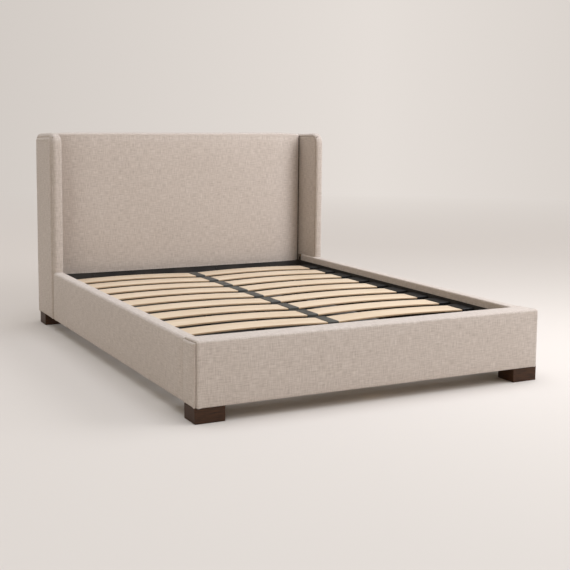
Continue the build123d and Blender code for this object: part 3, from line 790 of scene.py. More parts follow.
@dataclass
class Cover:
    """Foam and cloth stretched over a board: a profile run along one axis, crowned, sewn and hollow.

    It starts as a plain box with a grid on it. Every later shape is worked out from a point's place on that
    plain box, so that seams stay sharp where they belong.
    """

    name: str
    node: str
    block: Block
    run: Axis
    lines: tuple[Lines, Lines, Lines]
    corners: tuple[Corner, ...]
    end_radii: tuple[float, float]
    soft_sides: tuple[tuple[Axis, int], ...]
    bulges: tuple[Bulge, ...]
    cavities: tuple[Block, ...]
    cap: float
    ripple: float
    seed: float
    pushes: tuple[Seam | StripCrown, ...] = ()
    moves: tuple[Tuck | Lean, ...] = ()
    ripple_length: float = 150 * MM
    hem: float = 2.0 * MM
    fill: float = 0.9

    def from_end(self, box: np.ndarray, end: int) -> np.ndarray:
        """Distance of each point from one end of the run."""
        return np.abs(box[:, self.run] - self.block.side(self.run, end))

    def from_outline(self, box: np.ndarray) -> tuple[np.ndarray, np.ndarray]:
        """Distance of each point from the nearest soft side of the profile, and that side's number."""
        sides = self.soft_sides
        gaps = np.array([np.abs(box[:, axis] - self.block.side(axis, side)) for axis, side in sides])
        return gaps.min(0), gaps.argmin(0)

    def shaped(self, box: np.ndarray) -> np.ndarray:
        """Round and crown the points of the plain box."""
        points = box.copy()
        inset, nearest = self.from_outline(box)
        new_inset = self._round_ends(box, points, inset)
        for number, (axis, side) in enumerate(self.soft_sides):
            chosen = nearest == number
            points[chosen, axis] -= side * (new_inset - inset)[chosen]
        for corner in self.corners:
            self._round_corner(corner, box, points, (inset, new_inset))
        for bulge in self.bulges:
            points[:, bulge.face] += bulge.side * bulge.height * bulge.share(box, self.block)
        for move in self.moves:
            points += move.move(self, box)
        return points

    def _round_ends(self, box: np.ndarray, points: np.ndarray, inset: np.ndarray) -> np.ndarray:
        """Round the edges where the profile meets the two ends of its run.

        Args:
            box: the points of the plain box.
            points: the points to move along the run, changed in place.
            inset: each point's distance from the profile's outline.

        Returns:
            Each point's distance from the outline after the rounding.
        """
        new_inset = inset
        for end, radius in zip((-1, 1), self.end_radii):
            if radius:
                depth = self.from_end(box, end)
                new_depth, bent = square_to_round(depth, inset, radius)
                points[:, self.run] -= end * (new_depth - depth)
                new_inset = np.maximum(new_inset, bent)
        return new_inset

    def _round_corner(self, corner: Corner, box: np.ndarray, points: np.ndarray,
                      insets: tuple[np.ndarray, np.ndarray]) -> None:
        """Round one corner of the profile.

        Args:
            corner: the corner.
            box: the points of the plain box.
            points: the points to move, changed in place.
            insets: each point's distance from the outline before and after the ends were rounded.
        """
        across = [axis for axis in Axis if axis != self.run]
        radius = corner.radius
        sides = [self.block.side(axis, end) for axis, end in zip(across, corner.ends)]
        u, v = (radius - np.abs(box[:, axis] - side) for axis, side in zip(across, sides))
        inside = (u > 0) & (v > 0)
        if all(pair in self.soft_sides for pair in zip(across, corner.ends)):
            scale = (radius - insets[1]) / np.where(inside, radius - insets[0], 1.0)
            u, v = u * scale, v * scale
        else:
            u, v = (radius - np.abs(points[:, axis] - side) for axis, side in zip(across, sides))
        bent = square_to_round(radius - u, radius - v, radius)
        for axis, side, end, new in zip(across, sides, corner.ends, bent):
            points[inside, axis] = (side - end * new)[inside]

    def build(self, finishes: Finishes) -> bpy.types.Object:
        """Make the cover, let its cloth settle and set it on the bed.

        Args:
            finishes: the bed's finishes.

        Returns:
            The finished piece.
        """
        piece = grid_box(self.name, [self.lines[axis].places(self.block.low[axis], self.block.high[axis])
                                     for axis in Axis])
        box = read_vectors(piece.data.vertices)
        move = self._settle(piece, box)
        moves = piece.data.attributes.new("move", "FLOAT_VECTOR", "POINT")
        moves.data.foreach_set("vector", move.astype(np.float32).ravel())
        set_points(piece.data, box)
        refine = piece.modifiers.new("refine", "SUBSURF")
        refine.subdivision_type = "SIMPLE"
        refine.levels = refine.render_levels = 1
        bake(piece)
        self._sew(piece)
        carve(piece, self.cavities)
        finishes.dress(piece, CLOTH)
        shade_smooth(piece)
        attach(piece, BODY)
        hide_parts(self.node)
        log.info("%s: %d points", self.name, len(piece.data.vertices))
        return piece

    def _free(self, box: np.ndarray) -> np.ndarray:
        """How freely each point of the plain box may move, from 0 to 1."""
        share = np.max([bulge.share(box, self.block) for bulge in self.bulges], axis=0)
        return np.clip(3 * share, 0, 1)

    def _settle(self, piece: bpy.types.Object, box: np.ndarray) -> np.ndarray:
        """Blow the cover up a little with Blender's cloth.

        Args:
            piece: the cover's coarse mesh.
            box: its points on the plain box.

        Returns:
            How far each point moved, after the cap.
        """
        start = self.shaped(box)
        set_points(piece.data, start)
        pins = piece.vertex_groups.new(name="pins")
        for number, share in enumerate(1 - self._free(box)):
            if share > 0:
                pins.add([number], float(share), "REPLACE")
        cloth = piece.modifiers.new("cloth", "CLOTH")
        for name, value in CLOTH_SETTINGS.items():
            setattr(cloth.settings, name, value)
        cloth.settings.effector_weights.gravity = 0.0
        cloth.settings.vertex_group_mass = pins.name
        cloth.point_cache.frame_start = 1
        cloth.point_cache.frame_end = SETTLE_FRAMES
        scene = bpy.context.scene
        for number in range(1, SETTLE_FRAMES + 1):
            scene.frame_set(number)
        after = read_vectors(piece.evaluated_get(bpy.context.evaluated_depsgraph_get()).data.vertices)
        piece.modifiers.clear()
        piece.vertex_groups.clear()
        scene.frame_set(1)
        move = after - start
        length = np.linalg.norm(move, axis=1, keepdims=True)
        log.info("%s settled by at most %.1f mm before the cap", self.name, float(length.max()) / MM)
        return move * (self.cap * np.tanh(length / self.cap) / np.maximum(length, 1e-9))

    def _sew(self, piece: bpy.types.Object) -> None:
        """Shape the fine mesh, press its seams in, lay faint ripples over the cloth and draw its hem in."""
        box = read_vectors(piece.data.vertices)
        points = self.shaped(box) + read_vectors(piece.data.attributes["move"].data, "vector")
        piece.data.attributes.remove(piece.data.attributes["move"])
        set_points(piece.data, points)
        normals = read_vectors(piece.data.vertex_normals, "vector")
        push = waves(points, self.ripple_length, self.seed)
        push += FINE_RIPPLE_SHARE * waves(points, self.ripple_length / 4, self.seed + 5)
        push *= self.ripple * self._open(box)
        for part in self.pushes:
            push += part.push(self, box)
        rise = np.clip(1 - (box[:, 2] - self.block.low.z) / HEM_STEPS[-1], 0, 1)
        hem = normals * np.array([1, 1, 0]) * (self.hem * rise ** 2)[:, None]
        set_points(piece.data, points + normals * push[:, None] - hem)

    def _open(self, box: np.ndarray) -> np.ndarray:
        """How much the cloth ripples: fully on a bulge, less on its other soft sides and not elsewhere."""
        on_side = (self.from_outline(box)[0] < ON_FACE).astype(float)
        return np.maximum(self._free(box), FLAT_SIDE_SHARE * on_side)


# Rails, footboard, wings and headboard

# The rails and the footboard are bare inside below the steel frame's seat, and the footboard only between
# the rails' boards.
RAIL_BOARD_INNER_X = 792 * MM
SEAT_OF_FRAME = 250 * MM


@dataclass
class SideRail:
    """Padded rail on one side of the bed, with the tongue that runs on inside the wing."""

    side: str
    outer_radius: float = 13 * MM
    inner_radius: float = 7 * MM
    end_radius: float = 5 * MM
    added_height: float = 2 * MM
    bulge: float = 4 * MM
    cloth_share: float = 1.5 * MM
    top_bulge: float = 0.6 * MM
    rise_y: float = 60 * MM
    rise_z: float = 120 * MM
    top_rise: float = 20 * MM
    top_margin: float = 8 * MM
    foot_margin: float = 4 * MM
    wing_margin: float = 2 * MM
    wing_joint: float = 2.5 * MM

    def build(self, finishes: Finishes) -> bpy.types.Object:
        """Make the rail's cover."""
        s = SIDES[self.side]
        node = f"{self.side}_rail_cover"
        board = Block.of_node(f"{self.side}_rail_board")
        wing_front = Block.of_node(f"{self.side}_wing_cover").low.y
        block = Block.of_node(node).grown((Axis.X, s, -self.bulge), (Axis.Z, 1, self.added_height))
        fine_x = [fine_to(radius, FIRST_STEPS) for radius in (self.outer_radius, self.inner_radius)][::-s]
        shown = Span(Axis.Y, block.low.y + self.foot_margin, wing_front - self.wing_margin, self.rise_y)
        outside = block.span(Axis.Z, self.rise_z, high_inset=self.outer_radius)
        top = block.span(Axis.X, self.top_rise, self.top_margin, self.top_margin)
        past_end, below = block.high.y + OVERRUN, block.low.z - OVERRUN
        inner_x = (block.side(Axis.X, -s) - s * OVERRUN, board.side(Axis.X, -s) + s * OVERLAP)
        outer_x = (board.side(Axis.X, s) - s * OVERLAP, block.side(Axis.X, s) + s * 2 * OVERRUN)
        bare_inside = Block.between(inner_x, (block.low.y - OVERRUN, past_end), (below, SEAT_OF_FRAME))
        behind_wing = Block.between(outer_x, (wing_front, past_end), (below, block.high.z + OVERRUN))
        return Cover(
            name=f"{self.side}_rail_upholstery", node=node, block=block, run=Axis.Y,
            lines=(Lines(*fine_x), Lines(SEAM_STEPS, (0, 4 * MM), (wing_front,)),
                   Lines(HEM_STEPS, fine_to(self.outer_radius, FIRST_STEPS))),
            corners=(Corner((s, 1), self.outer_radius), Corner((-s, 1), self.inner_radius)),
            end_radii=(self.end_radius, 0), soft_sides=((Axis.X, s), (Axis.Z, 1), (Axis.X, -s)),
            bulges=(Bulge(Axis.X, s, self.bulge - self.cloth_share, (shown, outside)),
                    Bulge(Axis.Z, 1, self.top_bulge, (shown, top))),
            cavities=(board.grown((Axis.Z, -1, OVERRUN), (Axis.Y, -1, OVERRUN)), bare_inside, behind_wing),
            pushes=(Seam(self.wing_joint, self.wing_joint, plane=(Axis.Y, wing_front)),),
            cap=1.5 * MM, ripple=0.9 * MM, seed=2.0 + s).build(finishes)


@dataclass
class Footboard:
    """Thick padded board across the foot of the bed."""

    front_radius: float = 10 * MM
    back_radius: float = 8 * MM
    end_radius: float = 10 * MM
    added_height: float = 2.5 * MM
    end_inset: float = 3 * MM
    bulge: float = 5 * MM
    cloth_share: float = 2 * MM
    rise_x: float = 90 * MM
    rise_z: float = 110 * MM
    top_bulge: float = 1.5 * MM
    top_rise: float = 22 * MM
    top_lean: float = 5 * MM
    end_bulge: float = 4 * MM
    end_rise_y: float = 40 * MM
    end_rise_z: float = 80 * MM
    front_seam: tuple[float, float] = (8.5 * MM, 5.2 * MM)
    back_seam: tuple[float, float] = (6 * MM, 4 * MM)

    def build(self, finishes: Finishes) -> bpy.types.Object:
        """Make the footboard's cover."""
        node = "footboard_cover"
        front, back = Block.of_node("footboard_front_board"), Block.of_node("footboard_back_board")
        block = Block.of_node(node).grown((Axis.Y, -1, -self.bulge), (Axis.Z, 1, self.added_height),
                                          (Axis.X, -1, -self.end_inset), (Axis.X, 1, -self.end_inset))
        end = fine_to(self.end_radius)
        span_x = block.span(Axis.X, self.rise_x, self.end_radius, self.end_radius)
        span_z = block.span(Axis.Z, self.rise_z, high_inset=self.front_radius)
        top_y = block.span(Axis.Y, self.top_rise, self.front_radius, self.back_radius)
        end_y = block.span(Axis.Y, self.end_rise_y, low_inset=self.end_radius)
        end_z = block.span(Axis.Z, self.end_rise_z, high_inset=self.end_radius)
        bare_y = (back.high.y - OVERLAP, block.high.y + OVERRUN)
        bare = Block.between((-RAIL_BOARD_INNER_X, RAIL_BOARD_INNER_X), bare_y,
                             (block.low.z - OVERRUN, SEAT_OF_FRAME))
        seams = [Seam(*size, side, plane) for side in (-1, 1) for size, plane in
                 ((self.front_seam, None), (self.back_seam, (Axis.Y, block.high.y)))]
        return Cover(
            name="footboard_upholstery", node=node, block=block, run=Axis.X,
            lines=(Lines(end, end), Lines(fine_to(self.front_radius), fine_to(self.back_radius)),
                   Lines(HEM_STEPS, fine_to(self.front_radius))),
            corners=(Corner((-1, 1), self.front_radius), Corner((1, 1), self.back_radius)),
            end_radii=(self.end_radius, self.end_radius), soft_sides=((Axis.Y, -1), (Axis.Z, 1)),
            bulges=(Bulge(Axis.Y, -1, self.bulge - self.cloth_share, (span_x, span_z)),
                    Bulge(Axis.Z, 1, self.top_bulge, (span_x, top_y)),
                    *(Bulge(Axis.X, side, self.end_bulge, (end_y, end_z)) for side in (-1, 1))),
            cavities=(Block(front.low, back.high).grown((Axis.Z, -1, OVERRUN)), bare),
            moves=(Lean(Axis.Z, 1, self.top_lean, Axis.Y, block.high.y, block.low.y),),
            pushes=tuple(seams), cap=2 * MM, ripple=0.8 * MM, seed=7.0).build(finishes)


@dataclass
class Wing:
    """Boxed wing: two side panels, and a strip between two seams that runs up its front and over its top."""

    side: str
    front_radius: float = 44 * MM
    back_radius: float = 22 * MM
    edge_radius: float = 6 * MM
    outer_inset: float = 3 * MM
    inner_inset: float = 0.3 * MM
    back_inset: float = 8 * MM
    strip_inset: float = 15 * MM
    strip_crown: float = 15 * MM
    strip_bulge: float = 0.4 * MM
    strip_rise: float = 20 * MM
    strip_end_rise: float = 50 * MM
    inner_lean: float = 8 * MM
    top_lean: float = 9 * MM
    top_lean_starts: float = 60 * MM
    bulge: float = 2.5 * MM
    rise: float = 90 * MM
    pad_rise: float = 60 * MM
    pad_overlap: float = 8 * MM
    cell: float = 9 * MM
    outer_seam: tuple[float, float] = (10 * MM, 6 * MM)
    inner_seam: tuple[float, float] = (3 * MM, 3.5 * MM)

    def build(self, finishes: Finishes) -> bpy.types.Object:
        """Make the wing's cover."""
        s = SIDES[self.side]
        node = f"{self.side}_wing_cover"
        core = Block.of_node(f"{self.side}_wing_core")
        rail_top = Block.of_node(f"{self.side}_rail_cover").high.z
        board = Block.of_node(f"{self.side}_rail_board")
        pad_front = Block.of_node("headboard_pad").low.y
        block = Block.of_node(node).grown(
            (Axis.Z, 1, -self.strip_inset), (Axis.Y, -1, -self.strip_inset), (Axis.X, s, -self.outer_inset),
            (Axis.X, -s, -self.inner_inset), (Axis.Y, 1, -self.back_inset))
        radius = self.edge_radius
        tall = block.span(Axis.Z, self.rise, high_inset=radius)
        deep = block.span(Axis.Y, self.rise, radius, radius)
        above_rail = tall._replace(low=rail_top)
        before_pad = Span(Axis.Y, block.low.y + radius, pad_front + self.pad_overlap, self.pad_rise)
        strip = block.span(Axis.X, self.strip_rise, radius, radius)
        front = block.span(Axis.Z, self.strip_end_rise, high_inset=self.front_radius)
        top = block.span(Axis.Y, self.strip_end_rise, self.front_radius, self.back_radius)
        notch_x = (block.side(Axis.X, -s) - s * (self.inner_lean + OVERRUN), board.side(Axis.X, s))
        notch_y = (block.low.y - OVERRUN, Block.of_node("headboard_face_board").low.y)
        notch = Block.between(notch_x, notch_y, (block.low.z - OVERRUN, rail_top))
        return Cover(
            name=f"{self.side}_wing_upholstery", node=node, block=block, run=Axis.X,
            lines=(Lines(FINE_EDGE, FINE_EDGE, cell=self.cell),
                   Lines(fine_to(self.front_radius), fine_to(self.back_radius)),
                   Lines(HEM_STEPS, fine_to(self.front_radius), (rail_top,))),
            corners=(Corner((-1, 1), self.front_radius), Corner((1, 1), self.back_radius)),
            end_radii=(radius, radius), soft_sides=((Axis.Y, -1), (Axis.Z, 1), (Axis.Y, 1)),
            bulges=(Bulge(Axis.X, s, self.bulge, (tall, deep)),
                    Bulge(Axis.X, -s, self.bulge / 2, (above_rail, before_pad)),
                    Bulge(Axis.Y, -1, self.strip_bulge, (strip, front)),
                    Bulge(Axis.Z, 1, self.strip_bulge, (strip, top))),
            cavities=(core.grown((Axis.Z, -1, OVERRUN)), notch),
            # In the photo the inner faces of both wings stand further to the right at their front.
            moves=(Lean(Axis.X, -s, -s * self.inner_lean, Axis.Y, pad_front, block.low.y),
                   Lean(Axis.Z, 1, -self.top_lean, Axis.Y, block.low.y + self.top_lean_starts, block.high.y)),
            pushes=(StripCrown(self.strip_crown), Seam(*self.outer_seam, s), Seam(*self.inner_seam, -s)),
            cap=1.5 * MM, ripple=0.8 * MM, seed=12.0 + s).build(finishes)


@dataclass
class HeadboardPanel:
    """Thick crowned pad between the wings, turned over the top of its board."""

    top_radius: float = 10 * MM
    back_radius: float = 8 * MM
    top_inset: float = 1 * MM
    gap: float = 3 * MM
    growth: float = 8 * MM
    bulge: float = 3 * MM
    rise_x: float = 110 * MM
    rise_z: float = 200 * MM
    top_bulge: float = 0.8 * MM
    top_rise: float = 50 * MM
    edge: float = 55 * MM
    tuck_width: float = 230 * MM
    tuck_depth: float = 60 * MM
    tuck_drop: float = 7 * MM
    tuck_steps_mm: tuple[float, ...] = (0, 1, 2.5, 5, 9, 14, 21, 30, 42, 55, 70, 87, 105, 125, 150, 175, 200,
                                        230)

    def build(self, finishes: Finishes) -> bpy.types.Object:
        """Make the headboard's pad."""
        node = "headboard_pad"
        face_board = Block.of_node("headboard_face_board")
        block = Block.of_node(node).grown((Axis.Y, -1, self.growth), (Axis.Z, 1, -self.top_inset),
                                          (Axis.X, -1, -self.gap), (Axis.X, 1, -self.gap))
        end = tuple(step * MM for step in self.tuck_steps_mm)
        pulls = ((Axis.Y, -1, self.tuck_depth), (Axis.Z, 1, self.tuck_drop))
        span_x = block.span(Axis.X, self.rise_x)
        span_z = block.span(Axis.Z, self.rise_z, high_inset=self.top_radius)
        top_y = block.span(Axis.Y, self.top_rise, self.top_radius, self.back_radius)
        behind = block.grown(*((axis, side, OVERRUN) for axis in Axis for side in (-1, 1)))
        behind.low.y, behind.high.z = face_board.low.y, face_board.high.z
        return Cover(
            name="headboard_upholstery", node=node, block=block, run=Axis.X,
            lines=(Lines(end, end), Lines(fine_to(self.top_radius), fine_to(self.back_radius)),
                   Lines((0, 3 * MM, 6 * MM, 10 * MM), fine_to(self.top_radius))),
            corners=(Corner((-1, 1), self.top_radius), Corner((1, 1), self.back_radius)),
            end_radii=(0, 0), soft_sides=((Axis.Y, -1), (Axis.Z, 1)),
            bulges=(Bulge(Axis.Y, -1, self.bulge, (span_x, span_z)),
                    Bulge(Axis.Z, 1, self.top_bulge, (span_x, top_y))),
            moves=(Tuck(self.tuck_width, self.edge, pulls),),
            cavities=(behind,), cap=3 * MM, ripple=1.2 * MM, ripple_length=230 * MM, hem=0.0, seed=20.0
        ).build(finishes)


@dataclass
class BackLining:
    """Thin lining stretched over the back of the headboard between the wings."""

    edge_radius: float = 3 * MM
    slack: float = 1 * MM
    bulge: float = 0.4 * MM
    rise: float = 200 * MM
    margin: float = 20 * MM

    def build(self, finishes: Finishes) -> bpy.types.Object:
        """Make the lining."""
        node = "headboard_back_cover"
        block = Block.of_node(node).grown((Axis.Y, 1, -self.slack))
        edge = FINE_EDGE[:3]
        wide = Lines(edge, edge, cell=2 * CELL)
        spans = tuple(block.span(axis, self.rise, self.margin, self.margin) for axis in (Axis.X, Axis.Z))
        return Cover(
            name="back_lining", node=node, block=block, run=Axis.Y,
            lines=(wide, Lines(edge[:2], edge, cell=4 * MM), wide),
            corners=(), end_radii=(0, self.edge_radius),
            soft_sides=((Axis.X, -1), (Axis.X, 1), (Axis.Z, 1), (Axis.Z, -1)),
            bulges=(Bulge(Axis.Y, 1, self.bulge, spans),), cavities=(), cap=0.6 * MM, ripple=0.6 * MM,
            ripple_length=260 * MM, hem=0.0, seed=30.0, fill=0.3).build(finishes)


# Slats, screws and the carried frame


def slat_nodes(side: str = "") -> list[str]:
    """Names of the deck's CAD slats, on one side or on both."""
    return sorted(name for name in frame["nodes"] if f"{side}_slat_" in name and "holders" not in name)


@dataclass
class SlatDeck:
    """Ten rows of two bowed slats, their long edges sanded round."""

    edge_radius: float = 1.8 * MM
    thickness: float = 8 * MM
    spans: int = 28
    edge_steps: int = 3

    def build(self, finishes: Finishes) -> list[bpy.types.Object]:
        """Make a slat for each of the deck's CAD slats."""
        return [self._slat(name, finishes) for name in slat_nodes()]

    def _section(self, half: float) -> list[tuple[float, float]]:
        """Rounded outline of a slat across its length, as offsets in Y and Z."""
        outline = []
        for quarter, (y_side, z_side) in enumerate(((1, 1), (-1, 1), (-1, -1), (1, -1))):
            centre_y = y_side * (half - self.edge_radius)
            centre_z = z_side * (self.thickness / 2 - self.edge_radius)
            for step in range(self.edge_steps + 1):
                angle = math.radians(90 * (quarter + step / self.edge_steps))
                outline.append((centre_y + self.edge_radius * math.cos(angle),
                                centre_z + self.edge_radius * math.sin(angle)))
        return outline

    def _slat(self, node: str, finishes: Finishes) -> bpy.types.Object:
        """Make one slat: its section carried along an arc.

        Args:
            node: the CAD slat that it stands for.
            finishes: the bed's finishes.

        Returns:
            The slat.
        """
        low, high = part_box(node)
        bow = high.z - low.z - self.thickness
        half_length = (high.x - low.x) / 2
        radius = (half_length ** 2 + bow ** 2) / (2 * bow)
        middle = (low + high) / 2
        section = self._section((high.y - low.y) / 2)
        shape = bmesh.new()
        rings = []
        for step in range(self.spans + 1):
            offset = half_length * (2 * step / self.spans - 1)
            drop = radius - math.sqrt(radius ** 2 - offset ** 2)
            centre_z = high.z - self.thickness / 2 - drop
            rings.append([shape.verts.new((middle.x + offset, middle.y + y, centre_z + z))
                          for y, z in section])
        bridge(shape, rings)
        shape.faces.new(list(reversed(rings[0])))
        shape.faces.new(rings[-1])
        bmesh.ops.recalc_face_normals(shape, faces=shape.faces)
        piece = new_piece(f"{node}_ply", shape)
        finishes.dress(piece, SLAT_PLY)
        shade_smooth(piece, sharp_degrees=50.0)
        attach(piece, BODY)
        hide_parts(node)
        return piece


@dataclass
class FrameScrews:
    """Blackened domed screws that hold the steel angles to the boards, and the legs' plates to the beam."""

    head_radius: float = 6 * MM
    head_height: float = 3.2 * MM
    socket_radius: float = 2.2 * MM
    socket_depth: float = 1.6 * MM
    turns: int = 20
    steel: float = 3 * MM
    plate: float = 4 * MM
    side_height: float = 20 * MM
    end_height: float = 17 * MM
    end_places: tuple[float, ...] = (-560 * MM, -200 * MM, 200 * MM, 560 * MM)
    plate_places: tuple[float, ...] = (-36 * MM, 36 * MM)

    def build(self, finishes: Finishes) -> bpy.types.Object:
        """Make every screw head as one piece."""
        shape = bmesh.new()
        for place, direction in self._places():
            self._head(shape, Vector(place), Vector(direction))
        bmesh.ops.recalc_face_normals(shape, faces=shape.faces)
        piece = new_piece("frame_screws", shape)
        finishes.dress(piece, BLACK_COAT)
        shade_smooth(piece, sharp_degrees=50.0)
        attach(piece, BODY)
        return piece

    def _places(self) -> list[tuple[tuple[float, ...], tuple[int, ...]]]:
        """Place of each head's seat, and the direction that the head faces."""
        rows = sorted((low.y + high.y) / 2 for low, high in map(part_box, slat_nodes("left")))
        gaps = [(a + b) / 2 for a, b in zip(rows, rows[1:])]
        places = []
        for name, s in SIDES.items():
            angle = Block.of_node(f"{name}_side_angle")
            x, z = angle.side(Axis.X, s) - s * self.steel, angle.low.z + self.side_height
            places += [((x, y, z), (-s, 0, 0)) for y in gaps[::2]]
        for name, facing in (("head_angle", -1), ("foot_angle", 1)):
            angle = Block.of_node(name)
            y, z = angle.side(Axis.Y, -facing) + facing * self.steel, angle.low.z + self.end_height
            places += [((x, y, z), (0, facing, 0)) for x in self.end_places]
        under_plate = Block.of_node("centre_beam").low.z - self.plate
        for foot in ("head", "middle", "foot"):
            low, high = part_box(f"{foot}_screw_foot")
            y = (low.y + high.y) / 2
            places += [((0, y + step, under_plate), (0, 0, -1)) for step in self.plate_places]
        return places

    def _head(self, shape: bmesh.types.BMesh, place: Vector, direction: Vector) -> None:
        """Turn one domed head with a socket in it and set it on its seat."""
        floor = self.head_height - self.socket_depth
        dome = ((0.6, 0.93), (0.85, 0.7), (1.0, 0.25), (1.0, 0.0))
        profile = [(0.0, floor), (self.socket_radius, floor), (self.socket_radius, self.head_height),
                   *((self.head_radius * out, self.head_height * up) for out, up in dome), (0.0, 0.0)]
        turn = direction.to_track_quat("Z", "Y").to_matrix().to_4x4()
        turn.translation = place
        rings = []
        for radius, height in profile:
            angles = [2 * math.pi * n / self.turns for n in range(self.turns if radius else 1)]
            rings.append([shape.verts.new(turn @ Vector((radius * math.cos(a), radius * math.sin(a), height)))
                          for a in angles])
        bridge(shape, rings)


class CarriedFrame:
    """CAD nodes whose shape is right, in their real materials, a few with painted shade and light instead."""

    finish_of_slot = {finish.slot: finish for finish in
                      (DARK_WALNUT, RAW_PLYWOOD, PLANED_SOFTWOOD, BLACK_COAT, HOLDER_PLASTIC, FOOT_PLASTIC,
                       ZINC, SLAT_PLY, CLOTH)}
    # Painted shade on the inner boards and the side holders, painted light on the centre beam.
    shaded_boards = ("left_rail_board", "right_rail_board", "headboard_ledger", "headboard_face_board")
    finish_of_node = {"centre_beam": LIT_BEAM_COAT, **dict.fromkeys(shaded_boards, SHADED_PLYWOOD),
                      **dict.fromkeys(("left_slat_holders", "right_slat_holders"), SHADED_SIDE_HOLDER_PLASTIC)}

    def dress(self, finishes: Finishes) -> int:
        """Finish every node of the record, and return how many there are."""
        for subpart in frame["record"]["subparts"]:
            node = frame["nodes"][subpart["node"]]
            node.data.materials.clear()
            finish = self.finish_of_node.get(subpart["node"], self.finish_of_slot[subpart["material_slot"]])
            node.data.materials.append(finishes.of(finish))
        return len(frame["record"]["subparts"])


# Studio


@dataclass(frozen=True)
class Softbox:
    """A square soft lamp: its power, its side, where it hangs and what it points at."""

    name: str
    watts: float
    side: float
    place: tuple[float, float, float]
    aim: tuple[float, float, float]

    def build(self, colour: str) -> None:
        """Hang the lamp, out of the camera's sight."""
        light = bpy.data.lights.new(self.name, "AREA")
        light.energy = self.watts
        light.size = self.side
        light.color = linear(colour)[:3]
        lamp = bpy.data.objects.new(self.name, light)
        lamp.location = self.place
        lamp.rotation_euler = (Vector(self.aim) - lamp.location).to_track_quat("-Z", "Y").to_euler()
        lamp.visible_camera = False
        bpy.context.scene.collection.objects.link(lamp)


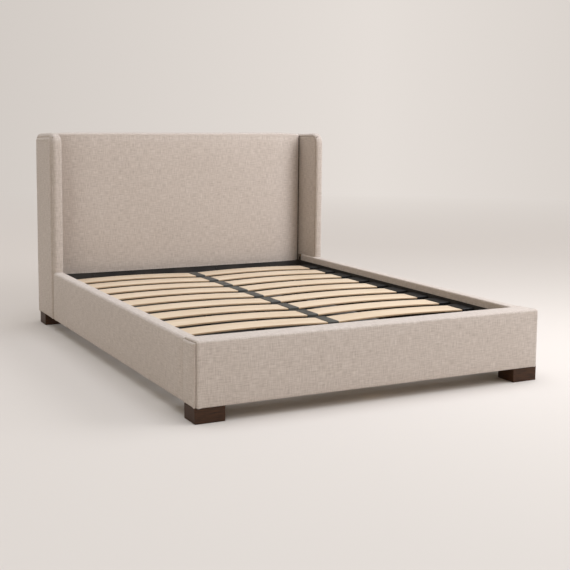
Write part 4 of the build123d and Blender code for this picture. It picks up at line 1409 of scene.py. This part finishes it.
@dataclass
class Studio:
    """Pale floor and backdrop, soft light over a warm fill, and the photograph's camera."""

    near_colour: str = "d2ccc5"
    far_colour: str = "cdc5bd"
    sky_colours: tuple[tuple[float, str], ...] = ((0.262, "dbd4ce"), (0.322, "e5ded8"), (0.43, "d3ccc6"))
    fill_colour: str = "fff3e0"
    fill: float = 0.5
    daylight_colour: str = "e4edfd"
    lamp_colour: str = "f6f8ff"
    overhead: float = 1.95
    overhead_spread_degrees: float = 60.0
    front: float = 0.42
    front_spread_degrees: float = 50.0
    front_direction: tuple[float, float, float] = (0.35, -0.75, 0.55)
    softboxes: tuple[Softbox, ...] = (
        Softbox("softbox", 86.0, 2.5, (3.2, -2.6, 2.6), (0.0, 0.3, 0.4)),
        Softbox("headboard_panel_light", 18.0, 1.0, (1.6, -0.8, 2.0), (-0.2, 1.0, 0.7)))
    near_y: float = -3.5
    far_y: float = 3.0
    fade_starts: float = 4.5
    fade_ends: float = 11.0
    # Painted shade: the paper is darkened under the deck, beside the right rail and behind the headboard,
    # where little light reaches. Each row gives an axis, where the painted shade begins and where it is full.
    painted_floor_shade: tuple[tuple[int, float, float], ...] = (
        (0, -0.72, -0.50), (0, 1.10, 0.95), (1, -0.80, -0.55), (1, 1.55, 1.36))
    painted_shade_colour: tuple[float, float, float, float] = (0.02, 0.018, 0.016, 1.0)
    paper_left_in_shade: float = 0.08
    camera_place: tuple[float, float, float] = (-2.380, -4.863, 1.182)
    camera_yaw: float = -0.479
    camera_pitch: float = 0.1155
    camera_roll: float = 0.0096
    focal_pixels: float = 1072.93
    centre_row: float = 240.0

    def build(self) -> None:
        """Set up the floor, the lights, the world and the camera."""
        self._floor()
        self._world()
        self._lamps()
        self._camera()
        bpy.context.scene.view_settings.view_transform = "Standard"

    def _floor(self) -> None:
        """Matt paper with painted shade under and beside the bed, fading into the backdrop far behind it."""
        shape = bmesh.new()
        bmesh.ops.create_circle(shape, cap_ends=True, segments=96, radius=60.0)
        floor = new_piece("floor", shape)
        s = Shade("seamless_paper")
        place = s.parts(s.place)
        depth_share = s.stretch(place[1], self.near_y, self.far_y)
        tone = s.blend(depth_share, linear(self.near_colour), linear(self.far_colour))
        # Painted shade: the paper's tone is blended towards a near-black colour in the shaded zone.
        shade = 1 - self.paper_left_in_shade
        for axis, outside, inside in self.painted_floor_shade:
            shade = s.sum("MULTIPLY", shade, s.stretch(place[axis], outside, inside))
        tone = s.blend(shade, tone, self.painted_shade_colour)
        paper = s.add("BsdfPrincipled", {"Base Color": tone, "Roughness": 0.95, "Specular IOR Level": 0.1})
        from_camera = [s.sum("SUBTRACT", place[n], self.camera_place[n]) for n in (0, 1)]
        painted = backdrop_tone(s.tree, *from_camera, self.sky_colours)
        backdrop = s.add("Emission", {"Color": painted, "Strength": 1.0})
        reach = s.add("VectorMath", {0: s.place}, operation="LENGTH").outputs["Value"]
        seen = s.add("LightPath").outputs["Is Camera Ray"]
        share = s.sum("MULTIPLY", s.stretch(reach, self.fade_starts, self.fade_ends), seen)
        mix = s.add("MixShader", {0: share, 1: paper.outputs[0], 2: backdrop.outputs[0]})
        s.add("OutputMaterial", {"Surface": mix.outputs[0]})
        floor.data.materials.append(s.material)

    def _world(self) -> None:
        """Even fill from all round, and the backdrop's colour where the camera sees past the floor."""
        world = bpy.data.worlds.new("studio")
        bpy.context.scene.world = world
        world.use_nodes = True
        tree = world.node_tree
        tree.nodes.clear()
        path = add_node(tree, "LightPath").outputs
        seen = add_node(tree, "Math", {0: path["Is Camera Ray"], 1: path["Is Transmission Ray"]},
                        operation="MAXIMUM").outputs[0]
        fill = add_node(tree, "Background", {"Color": linear(self.fill_colour), "Strength": self.fill})
        ways = add_node(tree, "SeparateXYZ", {0: add_node(tree, "TexCoord").outputs["Generated"]}).outputs
        painted = backdrop_tone(tree, ways[0], ways[1], self.sky_colours)
        sky = add_node(tree, "Background", {"Color": painted, "Strength": 1.0})
        mix = add_node(tree, "MixShader", {0: seen, 1: fill.outputs[0], 2: sky.outputs[0]})
        add_node(tree, "OutputWorld", {"Surface": mix.outputs[0]})

    def _lamps(self) -> None:
        """Wide soft daylight from overhead and from the front, and the softboxes."""
        suns = (("overhead", self.overhead, self.overhead_spread_degrees, (0.0, 0.0, 1.0)),
                ("front", self.front, self.front_spread_degrees, self.front_direction))
        for name, strength, spread, direction in suns:
            light = bpy.data.lights.new(name, "SUN")
            light.energy = strength
            light.angle = math.radians(spread)
            light.color = linear(self.daylight_colour)[:3]
            lamp = bpy.data.objects.new(name, light)
            lamp.rotation_euler = Vector(direction).to_track_quat("Z", "Y").to_euler()
            bpy.context.scene.collection.objects.link(lamp)
        for softbox in self.softboxes:
            softbox.build(self.lamp_colour)

    def _camera(self) -> None:
        """Camera at the photograph's place, with its tilt, its roll and its lens."""
        forward = Vector((-math.sin(self.camera_yaw), math.cos(self.camera_yaw), 0))
        right = Vector((math.cos(self.camera_yaw), math.sin(self.camera_yaw), 0))
        up = Vector((0, 0, 1))
        ahead = forward * math.cos(self.camera_pitch) - up * math.sin(self.camera_pitch)
        above = up * math.cos(self.camera_pitch) + forward * math.sin(self.camera_pitch)
        aside = right * math.cos(self.camera_roll) + above * math.sin(self.camera_roll)
        above = above * math.cos(self.camera_roll) - right * math.sin(self.camera_roll)
        lens = bpy.data.cameras.new("photo_camera")
        lens.sensor_width = 36.0
        lens.lens = self.focal_pixels * lens.sensor_width / PHOTO_SIDE
        lens.shift_y = (self.centre_row - PHOTO_SIDE / 2) / PHOTO_SIDE
        lens.clip_end = 200.0
        camera = bpy.data.objects.new("photo_camera", lens)
        turn = Matrix((aside, above, -ahead)).transposed().to_4x4()
        turn.translation = Vector(self.camera_place)
        camera.matrix_world = turn
        bpy.context.scene.collection.objects.link(camera)
        bpy.context.scene.camera = camera


# The whole bed


def main() -> None:
    """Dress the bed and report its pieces."""
    logging.basicConfig(level=logging.INFO, format="%(message)s")
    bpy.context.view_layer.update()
    Studio().build()
    finishes = Finishes()
    log.info("finished %d carried nodes", CarriedFrame().dress(finishes))
    sub_assemblies = [SideRail("left"), SideRail("right"), Footboard(), Wing("left"), Wing("right"),
                      HeadboardPanel(), BackLining(), FrameScrews()]
    for sub_assembly in sub_assemblies:
        piece = sub_assembly.build(finishes)
        log.info("built %s", piece.name)
    log.info("built %d slats", len(SlatDeck().build(finishes)))


if __name__ == "__main__":
    main()
